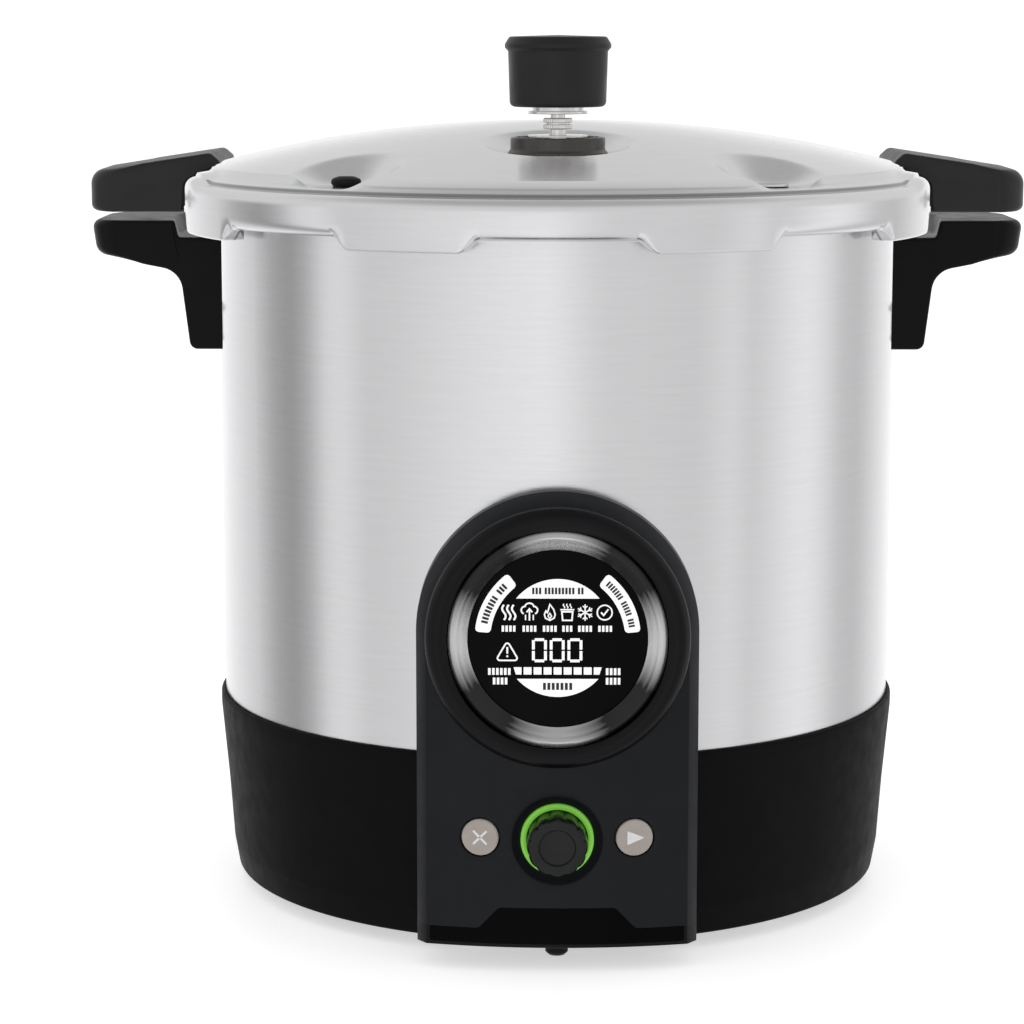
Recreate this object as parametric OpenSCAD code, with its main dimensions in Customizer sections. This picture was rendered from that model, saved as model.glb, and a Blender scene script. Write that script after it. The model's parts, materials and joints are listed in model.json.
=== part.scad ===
// Digital pressure canner: drawn aluminium pot fixed on a heated plastic base, with a twist-lock cover.
// Origin on the floor on the pot's axis, front towards -Y, +Z up, millimetres.

/* [Pot] */
// Outside diameter of the pot
pot_d = 290; // [286:1:294]
// Wall thickness of the pot
pot_wall = 3; // [2.5:0.1:3.2]
// Height of the pot's rim above the floor
rim_z = 294; // [290:1:310]
// Height of the underside of the pot above the floor
pot_floor_z = 74; // [73:0.5:76]

/* [Cover] */
// Width of the cover's skirt beyond the pot's wall, on each side
skirt_reach = 15; // [14.5:0.1:16]
// Thickness of the cover's sheet
cover_wall = 3; // [2.6:0.1:3.2]
// Height of the dome's top above the pot's rim
dome_rise = 35.2; // [33:0.2:37]
// Width of each locking hook round the skirt, in degrees
hook_angle = 20; // [17:0.5:20]

/* [Base] */
// Height of the base's upper edge above the floor
base_top_z = 83.6; // [83:0.2:85]
// Height of the rubber feet
foot_h = 6; // [5:0.5:7]
// Number of feet
foot_count = 4; // [3:1:6]

/* [Handles] */
// Width over both handles
handle_span = 398; // [394:1:408]
// Width of each handle along the rim
handle_w = 64; // [56:1:70]

/* [Control panel] */
// Width of the control panel
panel_w = 111; // [109:0.2:112]
// Distance of the panel's middle in front of the pot's axis
panel_front = 161; // [160.5:0.1:162]
// Radius of the panel's bow, seen from above
panel_bow = 220; // [210:5:260]
// Diameter of the display window
window_d = 69.8; // [66:0.2:71]
// Diameter of the dial
dial_d = 23.2; // [21:0.2:23.4]
// Diameter of each push button
button_d = 14.6; // [13:0.2:15.4]
// Travel of a push button
button_travel = 1.2; // [0.8:0.1:1.2]

/* [Regulator] */
// Diameter of the regulator cap at its lip
cap_d = 42.6; // [40:0.2:44]
// Distance of the vent pipe in front of the pot's axis
vent_y = 89; // [86:0.5:90]

/* [Hidden] */
$fn = 96;
gap = 0.3;

// Pot and cover, radii and heights
pot_r = pot_d / 2;
pot_in = pot_r - pot_wall;
bead_r = pot_r + 3;
lug_r = pot_r + 8.5;
skirt_r = pot_r + skirt_reach;
skirt_in = skirt_r - cover_wall;
skirt_low = rim_z - 10;
lip_low = rim_z - 6;
skirt_top = rim_z + 10.2;
dome_top = rim_z + dome_rise;
dome_edge_r = pot_r + 3.6;
dome_edge_z = rim_z + 15.4;
lug_count = 8;
lug_pitch = 360 / lug_count;
lug_angle = hook_angle - 1;

// The dome is part of one sphere through its top and its edge
dome_sag = dome_top - dome_edge_z;
dome_r = (pow(dome_edge_r, 2) + pow(dome_sag, 2)) / (2 * dome_sag);
function dome_z(r) = dome_top - dome_r + sqrt(pow(dome_r, 2) - pow(r, 2));

// Safety fittings stand in two scooped dimples, and the vent pipe in a flat one
fitting_angle = 39.5;
fitting_r = pot_r - 12.5;
fitting_x = fitting_r * sin(fitting_angle);
fitting_y = -fitting_r * cos(fitting_angle);
dimple_z = rim_z + 12;
dimple_r = 22;
dimple_at = pot_r - 4;
dimple_angle = 37.5;
vent_flat_z = rim_z + 24.3;
vent_flat_r = 24;

// Panel: its front is a vertical cylinder, bowed forward
bow_y = panel_bow - panel_front;
panel_half = panel_w / 2;
arch_z = 135.3;
panel_low = 10.3;
bevel_in = 3.9;
bevel_deep = 5.5;
display_z = 134.2;
ring_r = 51.8;
dial_z = 53.8;
button_x = 30.3;
button_z = 54.8;
function face_y(x) = bow_y - sqrt(pow(panel_bow, 2) - pow(x, 2));
button_tilt = asin(button_x / panel_bow);

// Base
base_r = pot_r + 2;
foot_r = pot_r - 10.6;
foot_stem_r = foot_r - 2.5;
plate_r = foot_r + 2;
screw_ring_r = 127;
screw_count = 6;
screw_first = 15;
boss_top = foot_h + 21;
inlet_y = 167;
inlet_z = 33;

function unit(v) = v / norm(v);
function turn_of(a, b) = let (d = b - a) d > 180 ? d - 360 : d < -180 ? d + 360 : d;

// Points of the arc that rounds corner p = [x, y, radius] between its neighbours a and b
function corner(a, p, b, n) =
    let (
        here = [p.x, p.y],
        u = unit([a.x, a.y] - here),
        v = unit([b.x, b.y] - here),
        half = acos(u * v) / 2,
        centre = here + unit(u + v) * p[2] / sin(half),
        from = here + u * p[2] / tan(half) - centre,
        to = here + v * p[2] / tan(half) - centre,
        start = atan2(from.y, from.x),
        sweep = turn_of(start, atan2(to.y, to.x))
    )
    [for (i = [0:n]) centre + p[2] * [cos(start + sweep * i / n), sin(start + sweep * i / n)]];

// Closed outline whose corners carry their own rounding radius as a third number
function rounded(points, n = 5) =
    let (count = len(points))
    [for (i = [0:count - 1])
        let (p = points[i])
        each len(p) < 3 ? [p] : corner(points[(i + count - 1) % count], p, points[(i + 1) % count], n)];

// Two directions square to a path at its point i
function frame_at(path, i) =
    let (
        last = len(path) - 1,
        t = unit(path[min(i + 1, last)] - path[max(i - 1, 0)]),
        side = unit(cross(t, abs(t.z) > 0.9 ? [1, 0, 0] : [0, 0, 1]))
    )
    [side, cross(side, t)];

// Round tube that follows a path
module tube(path, d, sides = 8) {
    rings = len(path);
    points = [for (i = [0:rings - 1]) let (f = frame_at(path, i)) for (k = [0:sides - 1])
        path[i] + d / 2 * (cos(360 * k / sides) * f[0] + sin(360 * k / sides) * f[1])];
    walls = [for (i = [0:rings - 2]) for (k = [0:sides - 1])
        let (a = i * sides, b = a + sides, m = (k + 1) % sides) [a + k, a + m, b + m, b + k]];
    ends = [[for (k = [sides - 1:-1:0]) k], [for (k = [0:sides - 1]) (rings - 1) * sides + k]];
    polyhedron(points, concat(walls, ends));
}

// A part's copy on each side of the pot
module both_sides() {
    for (side = [0, 1]) mirror([side, 0, 0]) children();
}

// Children spread round the pot's axis
module around(count, first = 0) {
    for (i = [0:count - 1]) rotate(first + 360 * i / count) children();
}

// Children face the front: their +Z axis becomes -Y
module facing_front(x, y, z, tilt = 0) {
    translate([x, y, z]) rotate(tilt) rotate([90, 0, 0]) children();
}

// Children lie on the power inlet's axis: their +Z axis points to the front, from y behind the pot's axis
module facing_back(y) {
    translate([0, y, inlet_z]) rotate([90, 0, 0]) children();
}

// ---- Pot ----

pot_outline = rounded([
    [0, pot_floor_z], [pot_r, pot_floor_z, 9], [pot_r, rim_z - 6.5, 1], [bead_r, rim_z - 5, 0.8],
    [bead_r, rim_z, 1.6], [pot_in, rim_z, 0.8], [pot_in, pot_floor_z + 4, 7], [0, pot_floor_z + 4]
]);
lug_outline = [
    [pot_r + 1.5, rim_z - 4.8], [lug_r, rim_z - 4.6], [lug_r, rim_z - 2.2], [pot_r + 1.5, rim_z - 1.6]
];

module pot() color("silver") {
    difference() {
        union() {
            rotate_extrude() polygon(pot_outline);
            around(lug_count, (lug_pitch - lug_angle) / 2)
                rotate_extrude(angle = lug_angle) polygon(lug_outline);
        }
        bracket_holes();
    }
}

// The lock bracket is riveted to the pot behind one of the cover's hooks, and its tongue
// reaches round the wall to stand beside the cover lock pin
bracket_z = rim_z - 8.6;
bracket_from = 27.2;
bracket_to = 43;
tongue_from = 36;
rivet_r = 1.1;
rivet_head_r = 1.75;

// Places children on the lock bracket's two rivet axes, pointing outwards
module rivet_places() {
    for (a = [28.8, 31.2]) rotate(a - 90) translate([0, 0, bracket_z]) rotate([0, 90, 0]) children();
}

module bracket_holes() {
    rivet_places() translate([0, 0, pot_in - 6]) cylinder(r = rivet_r, h = 14, $fn = 24);
}

module lock_bracket() color("lightgray") {
    outer = pot_in - 0.1;
    difference() {
        union() {
            rotate(bracket_from - 90) rotate_extrude(angle = bracket_to - bracket_from) polygon([
                [outer - 1.4, rim_z - 12], [outer, rim_z - 12],
                [outer, rim_z - 4.4], [outer - 1.4, rim_z - 4.4]
            ]);
            rotate(tongue_from - 90) rotate_extrude(angle = bracket_to - tongue_from) polygon([
                [outer, rim_z - 4.6], [outer, rim_z - 3], [outer - 4.3, rim_z - 3],
                [outer - 4.3, rim_z - 6], [outer - 3, rim_z - 6], [outer - 3, rim_z - 4.6]
            ]);
        }
        bracket_holes();
    }
}

module lock_bracket_rivets() color("gray") {
    rivet_places() {
        translate([0, 0, pot_in - 2]) cylinder(r = rivet_r, h = pot_wall + 2.1, $fn = 24);
        translate([0, 0, pot_in - 2.6]) cylinder(r = rivet_head_r, h = 1, $fn = 24);
        translate([0, 0, pot_r]) cylinder(r1 = rivet_head_r, r2 = rivet_r, h = 0.9, $fn = 24);
    }
}

rack_r = pot_in - 5;
rack_z = pot_floor_z + 18;

module jar_rack() color("gainsboro") {
    difference() {
        rotate_extrude() polygon(rounded([
            [0, rack_z], [0, rack_z + 1.6], [rack_r, rack_z + 1.6, 2.5], [rack_r, pot_floor_z + 8.5],
            [rack_r - 1.6, pot_floor_z + 8.5], [rack_r - 1.6, rack_z, 1]
        ]));
        for (ring = [1:4]) around(ring * 6, ring * 8)
            translate([ring * 26, 0, rack_z - 1]) cylinder(d = 9, h = 4, $fn = 32);
        translate([0, 0, rack_z - 1]) cylinder(d = 14, h = 4, $fn = 32);
    }
    around(6, 30) translate([rack_r - 22, 0, pot_floor_z + 4.05])
        cylinder(d = 6, h = rack_z - pot_floor_z - 4, $fn = 24);
}

// ---- Base ----

base_outline = rounded([
    [plate_r + 0.4, foot_h], [base_r - 7, foot_h, 1.5], [base_r - 4.9, foot_h + 12, 12],
    [base_r - 3, 45, 60], [base_r, 78, 25], [base_r, base_top_z, 2.4], [pot_r + 0.4, base_top_z],
    [pot_r + 0.4, base_top_z - 2.6], [base_r - 2.6, 77], [base_r - 5.6, 45], [base_r - 7.6, foot_h + 12],
    [base_r - 9.2, foot_h + 6], [plate_r - 1.6, foot_h + 6], [plate_r - 1.6, foot_h + 3.3],
    [plate_r + 0.4, foot_h + 3.3]
]);

// Places children on the bottom screws' axes
module screw_places() {
    around(screw_count, screw_first) translate([screw_ring_r, 0, 0]) children();
}

// Opening in the front of the base through which the panel's boards reach inside
window_low = 22;
window_high = 72;
window_half = 40;

module base_housing() color([0.11, 0.11, 0.12]) {
    difference() {
        union() {
            rotate_extrude() polygon(base_outline);
            screw_places() {
                translate([0, 0, foot_h + 3.3]) cylinder(d = 9, h = boss_top - foot_h - 3.3, $fn = 32);
                translate([3, -1.2, foot_h + 4]) cube([9, 2.4, 14]);
            }
        }
        screw_places() translate([0, 0, foot_h]) cylinder(r = 1.55, h = 30, $fn = 24);
        translate([-window_half, -base_r - 5, window_low])
            cube([2 * window_half, 14, window_high - window_low]);
        facing_back(base_r + 5) linear_extrude(20) pod_outline(0.3);
    }
}

module bottom_plate() color([0.09, 0.09, 0.1]) {
    difference() {
        translate([0, 0, foot_h]) cylinder(r = plate_r, h = 3);
        screw_places() {
            translate([0, 0, foot_h - 1]) cylinder(r = 1.7, h = 6, $fn = 24);
            translate([0, 0, foot_h - 1]) cylinder(r = 3.2, h = 2.9, $fn = 32);
        }
        foot_places() translate([foot_stem_r, 0, foot_h - 1]) cylinder(r = 2, h = 6, $fn = 24);
        for (row = [-3:3]) translate([-34, row * 9 - 1.5, foot_h - 1]) cube([68, 3, 5]);
    }
    board_corners() {
        translate([0, 0, foot_h + 2.5]) cylinder(r = 3, h = power_board_z - foot_h - 2.5, $fn = 32);
        translate([0, 0, power_board_z]) cylinder(r = 1.5, h = 3, $fn = 24);
    }
}

module foot_places() {
    around(foot_count, -90) children();
}

module rubber_feet() color([0.07, 0.07, 0.07]) {
    foot_places() {
        translate([foot_r, 0, 0]) cylinder(r1 = 3.4, r2 = 4.6, h = 1.2, $fn = 32);
        translate([foot_r, 0, 1.2]) cylinder(r = 4.6, h = foot_h - 1.2, $fn = 32);
        translate([foot_stem_r, 0, foot_h - 0.5]) cylinder(r = 1.95, h = 3.6, $fn = 24);
        translate([foot_stem_r, 0, foot_h + 3.1]) cylinder(r1 = 2.35, r2 = 1.6, h = 1.4, $fn = 24);
    }
}

module bottom_screws() color("dimgray") {
    screw_places() translate([0, 0, foot_h]) pan_screw(1.5, 3, 1.8, 22);
}

// Cross-head screw standing on its head: shank radius, head radius, head height, shank length
module pan_screw(shank_r, head_r, head_h, shank_l) {
    difference() {
        cylinder(r = head_r, h = head_h, $fn = 32);
        for (a = [0, 90]) rotate(a) translate([-head_r * 0.55, -0.4, -0.5]) cube([head_r * 1.1, 0.8, 1.4]);
    }
    translate([0, 0, head_h]) cylinder(r = shank_r, h = shank_l, $fn = 24);
}

// ---- Heating and sensing, under the pot ----

heat_plate_r = 98;
heat_plate_h = 6;
heat_z = pot_floor_z - heat_plate_h;
coil_r = 76;
coil_d = 8;
stud_ring_r = 116;
ring_z = pot_floor_z - 18;
ring_sheet = 1.5;
shield_z = ring_z + ring_sheet;
thermostat_x = 44;
probe_r = 9;
holder_z = 42;

module heat_plate() color("darkgray") {
    difference() {
        translate([0, 0, heat_z]) cylinder(r = heat_plate_r, h = heat_plate_h);
        translate([0, 0, heat_z - 1]) cylinder(r = 13, h = heat_plate_h + 2, $fn = 48);
    }
}

module heating_element() color("slategray") {
    translate([0, 0, heat_z - coil_d / 2]) {
        rotate(105) rotate_extrude(angle = 330) translate([coil_r, 0]) circle(d = coil_d, $fn = 32);
        for (a = [105, 75]) rotate(a) translate([coil_r, 0, -12]) cylinder(d = coil_d, h = 12, $fn = 32);
        for (a = [105, 75]) rotate(a) translate([coil_r, 0, 0]) sphere(d = coil_d, $fn = 32);
    }
}

module element_terminals() color("tan") {
    for (a = [105, 75]) rotate(a) translate([coil_r, 0, heat_z - coil_d / 2 - 12]) {
        translate([0, 0, -3]) cylinder(d = 6, h = 3, $fn = 32);
        translate([-0.4, -3.1, -11]) cube([0.8, 6.2, 8]);
    }
}

module heat_shield() color("lightsteelblue") {
    difference() {
        rotate_extrude() polygon([
            [11, shield_z], [122, shield_z], [124, shield_z + 3], [123, shield_z + 3.4],
            [121.4, shield_z + 1], [11, shield_z + 1]
        ]);
        for (a = [105, 75])
            rotate(a) translate([coil_r, 0, shield_z - 2]) cylinder(d = coil_d + 3, h = 6, $fn = 32);
        around(3, 30) translate([stud_ring_r, 0, shield_z - 2]) cylinder(r = 2.7, h = 9, $fn = 32);
        translate([thermostat_x, 0, shield_z - 2]) cylinder(r = 12, h = 6, $fn = 48);
    }
}

module thermostat() color("ivory") {
    translate([thermostat_x, 0, heat_z - 10]) cylinder(r = 8, h = 9.9, $fn = 48);
    translate([thermostat_x, 0, heat_z - 3]) cylinder(r = 10.5, h = 1.2, $fn = 48);
    for (y = [-4, 4]) translate([thermostat_x - 0.4, y - 2.2, heat_z - 17]) cube([0.8, 4.4, 7]);
}

module thermal_fuse() color("white") {
    translate([-56, 0, heat_z - 4.3]) rotate([0, 90, 0]) cylinder(r = 4.2, h = 24, $fn = 32);
    translate([-62, 0, heat_z - 4.3]) rotate([0, 90, 0]) cylinder(r = 0.7, h = 36, $fn = 16);
}

module sensor_holder() color("silver") {
    difference() {
        union() {
            translate([0, 0, holder_z]) cylinder(r = 13, h = shield_z - holder_z - 0.1, $fn = 48);
            translate([0, 0, shield_z - 1.5]) cylinder(r = 20, h = 1.4, $fn = 48);
        }
        translate([0, 0, holder_z + 2]) cylinder(r = 10.4, h = 40, $fn = 48);
        translate([0, 0, holder_z - 1]) cylinder(r = 2, h = 6, $fn = 24);
    }
}

module sensor_probe() color("gainsboro") {
    translate([0, 0, pot_floor_z - 9]) cylinder(r = probe_r, h = 8.9, $fn = 48);
    translate([0, 0, pot_floor_z - 22]) cylinder(r = 6.4, h = 13, $fn = 48);
}

spring_turns = 5;
spring_low = holder_z + 2.9;
spring_high = pot_floor_z - 9.9;

module sensor_spring() color("gray") {
    steps = spring_turns * 14;
    tube([for (i = [0:steps])
        let (a = 360 * spring_turns * i / steps)
        [8 * cos(a), 8 * sin(a), spring_low + (spring_high - spring_low) * i / steps]], 1.4, 6);
}

module pot_studs() color("lightgray") {
    around(3, 30) translate([stud_ring_r, 0, ring_z - 6])
        cylinder(r = 2.5, h = pot_floor_z - ring_z + 5.95, $fn = 24);
}

module stud_nuts() color("dimgray") {
    around(3, 30) translate([stud_ring_r, 0, ring_z - 4.05]) difference() {
        cylinder(r = 4.6, h = 4, $fn = 6);
        translate([0, 0, -1]) cylinder(r = 2.5, h = 6, $fn = 24);
    }
}

module mounting_ring() color("steelblue") {
    difference() {
        union() {
            difference() {
                translate([0, 0, ring_z]) cylinder(r = 137, h = ring_sheet);
                translate([0, 0, ring_z - 1]) cylinder(r = 125.5, h = 4);
            }
            around(3, 30) translate([stud_ring_r - 7, -9, ring_z]) cube([19, 18, ring_sheet]);
            screw_places() {
                translate([6.4, -6, boss_top + 0.1]) cube([ring_sheet, 12, ring_z - boss_top]);
                translate([-6, -6, boss_top + 0.1]) cube([13, 12, ring_sheet]);
            }
        }
        around(3, 30) translate([stud_ring_r, 0, ring_z - 1]) cylinder(r = 2.7, h = 4, $fn = 24);
        screw_places() translate([0, 0, boss_top - 1]) cylinder(r = 1.7, h = 4, $fn = 24);
    }
}

// ---- Power ----

power_board_z = 20;
board_sheet = 1.6;
board_face = power_board_z + board_sheet;

module board_corners() {
    for (x = [-47, 47]) for (y = [35, 87]) translate([x, y, 0]) children();
}

module power_board() color("darkgreen") {
    difference() {
        translate([-52, 30, power_board_z]) cube([104, 62, board_sheet]);
        board_corners() translate([0, 0, power_board_z - 1]) cylinder(r = 1.6, h = 4, $fn = 24);
    }
    for (x = [-42, -30]) translate([x, 78, board_face]) cylinder(d = 10, h = 15, $fn = 32);
}

module power_relay() color("royalblue") {
    translate([-44, 38, board_face + 0.05]) cube([22, 16, 15]);
}

module terminal_block() color("mediumseagreen") {
    difference() {
        translate([8, 76, board_face + 0.05]) cube([36, 10, 11]);
        for (x = [13, 21, 29, 37]) translate([x + 1, 81, 28]) cylinder(d = 4.4, h = 6, $fn = 24);
    }
}

inlet_w = 32;
inlet_h = 25;
socket_mouth = [24, 16];
socket_deep = 18;
pin_short = 6;
pin_pitch = 7;

// Outline of the inlet's pod, grown by an amount
module pod_outline(grow) {
    x = inlet_w / 2 + grow;
    y = inlet_h / 2 + grow;
    polygon(rounded([[-x, -y, 3], [x, -y, 3], [x, y, 6], [-x, y, 6]]));
}

module power_inlet() color([0.1, 0.1, 0.11]) {
    difference() {
        union() {
            facing_back(inlet_y) linear_extrude(inlet_y - base_r + 12) pod_outline(0);
            intersection() {
                facing_back(base_r - 4) linear_extrude(7) pod_outline(3.5);
                cylinder(r = base_r - 8.2, h = 60);
            }
        }
        facing_back(inlet_y + 1) linear_extrude(socket_deep + 1) polygon(rounded([
            [-socket_mouth.x / 2, -socket_mouth.y / 2, 1], [socket_mouth.x / 2, -socket_mouth.y / 2, 1],
            [socket_mouth.x / 2, socket_mouth.y / 2, 4], [-socket_mouth.x / 2, socket_mouth.y / 2, 4]
        ]));
        for (x = [-pin_pitch, 0, pin_pitch])
            facing_back(inlet_y - 10) translate([x, 0, 0]) linear_extrude(30) square([2, 4], center = true);
    }
}

module inlet_pins() color("silver") {
    for (x = [-pin_pitch, 0, pin_pitch])
        facing_back(inlet_y - pin_short) translate([x, 0, 0])
            linear_extrude(34.3) square([2, 4], center = true);
}

// Hand-laid routes of the internal wires
wire_d = 2.6;
wire_routes = [
    [[-7, 126.4, 33], [-8, 118, 34], [-6, 106, 35], [6, 96, 36], [13, 88, 38], [14, 82, 36], [14, 81, 29]],
    [[7, 126.4, 33], [10, 118, 34], [16, 108, 35], [20, 97, 37], [22, 88, 38], [22, 82, 36], [22, 81, 29]],
    [[30, 81, 29], [30, 81, 35], [28, 79, 38], [23, 75, 37], [19.7, 73.4, 38], [19.7, 73.4, 40.6]],
    [[-33, 46, 38.2], [-32, 50, 42], [-27, 60, 41], [-21, 70, 37], [-19.7, 73.4, 38], [-19.7, 73.4, 40.6]],
    [[-6, 28.9, 21], [-6, 10, 24], [-4, -30, 26], [0, -80, 28], [2, -120, 33], [2, -140, 38], [2, -149.8, 40]]
];

// Smooth curve through the route's points
function curve(p, i, t) =
    let (
        last = len(p) - 1,
        a = p[max(i - 1, 0)],
        b = p[i],
        c = p[i + 1],
        d = p[min(i + 2, last)]
    )
    0.5 * (2 * b + (c - a) * t + (2 * a - 5 * b + 4 * c - d) * t * t + (3 * b - a - 3 * c + d) * t * t * t);
function smooth_route(p) = [
    for (i = [0:len(p) - 2]) for (t = [0, 0.5]) curve(p, i, t),
    p[len(p) - 1]
];

module wiring() color("firebrick") {
    for (route = wire_routes) tube(smooth_route(route), wire_d);
}

// ---- Control panel ----

// Upright cylinder of the panel's bow, set back from the front by an inset
module bow(inset) {
    translate([0, bow_y, 0]) cylinder(r = panel_bow - inset, h = 210, $fn = 180);
}

// Outline of the panel: an arch on a straight-sided foot, drawn in X and Z and grown by an inset
module arch_outline(inset) {
    intersection() {
        union() {
            translate([0, arch_z]) circle(r = panel_half - inset);
            translate([-panel_half + inset, 0]) square([panel_w - 2 * inset, arch_z]);
        }
        translate([-panel_w, panel_low + inset]) square([2 * panel_w, 240]);
    }
}

module arch_block(inset, back, front) {
    translate([0, -back, 0]) rotate([90, 0, 0]) linear_extrude(front - back) arch_outline(inset);
}

// Everything in front of the panel's bevel, which narrows towards the front
module bevel_envelope() {
    side_y = -face_y(panel_half - bevel_in);
    half_back = panel_half + 30 * bevel_in / bevel_deep;
    half_front = panel_half - bevel_in - 20 * bevel_in / bevel_deep;
    back_y = side_y - bevel_deep - 30;
    front_y = side_y + 20;
    linear_extrude(arch_z) polygon([
        [-half_back, -back_y], [half_back, -back_y], [half_front, -front_y], [-half_front, -front_y]
    ]);
    intersection() {
        facing_front(0, -back_y, arch_z) cylinder(r1 = half_back, r2 = half_front, h = front_y - back_y);
        translate([-100, -front_y, arch_z - 0.01]) cube([200, front_y - back_y, 80]);
    }
}

fascia_wall = 2.5;
seam_y = 149;

module pot_and_base_clearance() {
    cylinder(r = pot_r + 0.4, h = 220);
    cylinder(r = base_r + 0.3, h = base_top_z + 0.3);
}

module panel_housing() color([0.12, 0.12, 0.14]) {
    difference() {
        arch_block(0, 120, seam_y);
        pot_and_base_clearance();
        arch_block(2.4, 110, seam_y + 1);
    }
    difference() {
        intersection() {
            arch_block(1, 120, seam_y);
            cylinder(r = pot_r + 2.2, h = 195);
            translate([-60, -200, base_top_z + 0.3]) cube([120, 90, 120]);
        }
        cylinder(r = pot_r + 0.4, h = 220);
    }
}

module front_fascia() color([0.14, 0.15, 0.17]) {
    difference() {
        intersection() {
            arch_block(0, seam_y, 175);
            bow(0);
            bevel_envelope();
        }
        intersection() {
            arch_block(2.4, seam_y - 1, 175);
            bow(fascia_wall);
            translate([0, 2.5, 0]) bevel_envelope();
        }
        facing_front(0, -140, display_z) cylinder(r = ring_r + 0.1, h = 40, $fn = 120);
        facing_front(0, -140, dial_z) cylinder(r = 14.5, h = 40);
        facing_front(0, -158.6, dial_z) cylinder(r1 = 13.5, r2 = 18.6, h = 2.6);
        for (side = [-1, 1]) button_place(side) translate([0, 0, -8]) cylinder(d = button_d + 1, h = 20);
        trim_block(0);
    }
}

// Outline of the glossy trim along the panel's foot, drawn in X and Z
trim_outline = rounded([
    [-52, panel_low + 1.5], [-52, 17.9], [-31, 17.9, 3], [-23, 26.5, 3], [23, 26.5, 3], [31, 17.9, 3],
    [52, 17.9], [52, panel_low + 1.5]
], 4);

module trim_block(shrink) {
    difference() {
        rotate([90, 0, 0]) linear_extrude(175) intersection() {
            polygon(trim_outline);
            translate([-50.5 + shrink, 0]) square([101 - 2 * shrink, 40]);
        }
        bow(1.2);
    }
}

module bottom_trim() color([0.03, 0.03, 0.04]) {
    intersection() {
        trim_block(0.1);
        bow(-0.2);
    }
}

module display_ring() color([0.12, 0.13, 0.14]) {
    difference() {
        facing_front(0, 0, display_z) rotate_extrude($fn = 120) polygon(rounded([
            [43.2, 152.5], [ring_r - 0.6, 152.5], [ring_r - 0.6, 155], [ring_r, 155], [ring_r, 160, 4],
            [47.8, 165.8, 4], [43.2, 162.6, 1]
        ]));
        around_display(3, 30, 46.5) cylinder(r = 1.55, h = 8, $fn = 24);
    }
}

// Children round the display's axis, starting at the back of the display ring
module around_display(count, first, r) {
    for (i = [0:count - 1]) {
        a = first + 360 * i / count;
        facing_front(r * cos(a), -152, display_z + r * sin(a)) children();
    }
}

module bezel_ring() color([0.55, 0.55, 0.56]) {
    facing_front(0, 0, display_z) rotate_extrude($fn = 120) polygon([
        [35.2, 157.2], [42.4, 160.2], [43, 160.6], [43, 161.8], [40.6, 163.5], [40.2, 163.4], [35.2, 159]
    ]);
}

module display_lens() color([0.01, 0.01, 0.01]) {
    facing_front(0, -154.6, display_z) cylinder(d = window_d + 0.4, h = 4, $fn = 120);
    facing_front(0, -154.6, display_z) cylinder(r = 40.5, h = 2, $fn = 120);
}

module display_module() color([0.85, 0.85, 0.8]) {
    facing_front(0, -151.7, display_z) linear_extrude(2.8) square([56, 46], center = true);
}

board_y = 150;

module control_board() color("darkgreen") {
    difference() {
        translate([-42, -board_y - 1.6, 30]) cube([84, 1.6, 132]);
        board_screw_places() translate([0, 0, -1]) cylinder(r = 1.7, h = 4, $fn = 24);
    }
}

// Board screws enter from behind the board, towards the front
module board_screw_places() {
    around_display(3, 30, 46.5) translate([0, 0, board_y - 152]) children();
}

module board_screws() color("dimgray") {
    around_display(3, 30, 46.5) translate([0, 0, -3.6]) pan_screw(1.5, 2.6, 1.5, 6);
}

module dial_encoder() color("silver") {
    difference() {
        union() {
            facing_front(0, -board_y - 4.05, dial_z) cube([12, 12, 4.8], center = true);
            facing_front(0, -board_y - 6.4, dial_z) cylinder(r = 4.4, h = 4);
        }
        facing_front(0, -board_y - 3, dial_z) cylinder(r = 3.1, h = 14, $fn = 48);
    }
}

switch_deep = 3.6;

module tact_switches() color([0.2, 0.2, 0.2]) {
    for (side = [-1, 1]) facing_front(side * (button_x - 1.2), -board_y - 1.65, button_z) {
        translate([-3, -3, 0]) cube([6, 6, switch_deep - 1.5]);
        cylinder(r = 1.7, h = switch_deep, $fn = 24);
    }
}

module light_ring() color([0.43, 0.75, 0.22]) {
    facing_front(0, 0, dial_z) rotate_extrude() polygon([
        [12.2, 155.2], [14.4, 155.2], [14.4, 158.8], [13.7, 159.5], [12.2, 159.1]
    ]);
}

dial_front = 172;
flat_count = 12;

module dial_knob() color([0.09, 0.09, 0.1]) {
    difference() {
        union() {
            facing_front(0, -159.5, dial_z) cylinder(d1 = dial_d + 0.4, d2 = dial_d, h = 11.2);
            facing_front(0, -170.7, dial_z) cylinder(d1 = dial_d, d2 = dial_d - 2.6, h = dial_front - 170.7);
            facing_front(0, -157.3, dial_z) cylinder(r = 8, h = 4);
        }
        for (i = [0:flat_count - 1])
            facing_front(0, -161.5, dial_z) rotate(i * 360 / flat_count)
                translate([dial_d / 2 + 5.2, 0, 0]) cylinder(r = 5.9, h = 12, $fn = 48);
        facing_front(0, -dial_front + 0.8, dial_z) cylinder(r1 = 6.6, r2 = 7, h = 2, $fn = 48);
        facing_front(0, -157.2, dial_z) cylinder(r = 4.9, h = 3.4, $fn = 48);
    }
    facing_front(0, -board_y - 4, dial_z) cylinder(r = 2.9, h = 12, $fn = 48);
}

// Children stand on the panel's face at a push button, along the panel's normal
module button_place(side) {
    facing_front(side * button_x, face_y(button_x), button_z, side * button_tilt) children();
}

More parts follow.
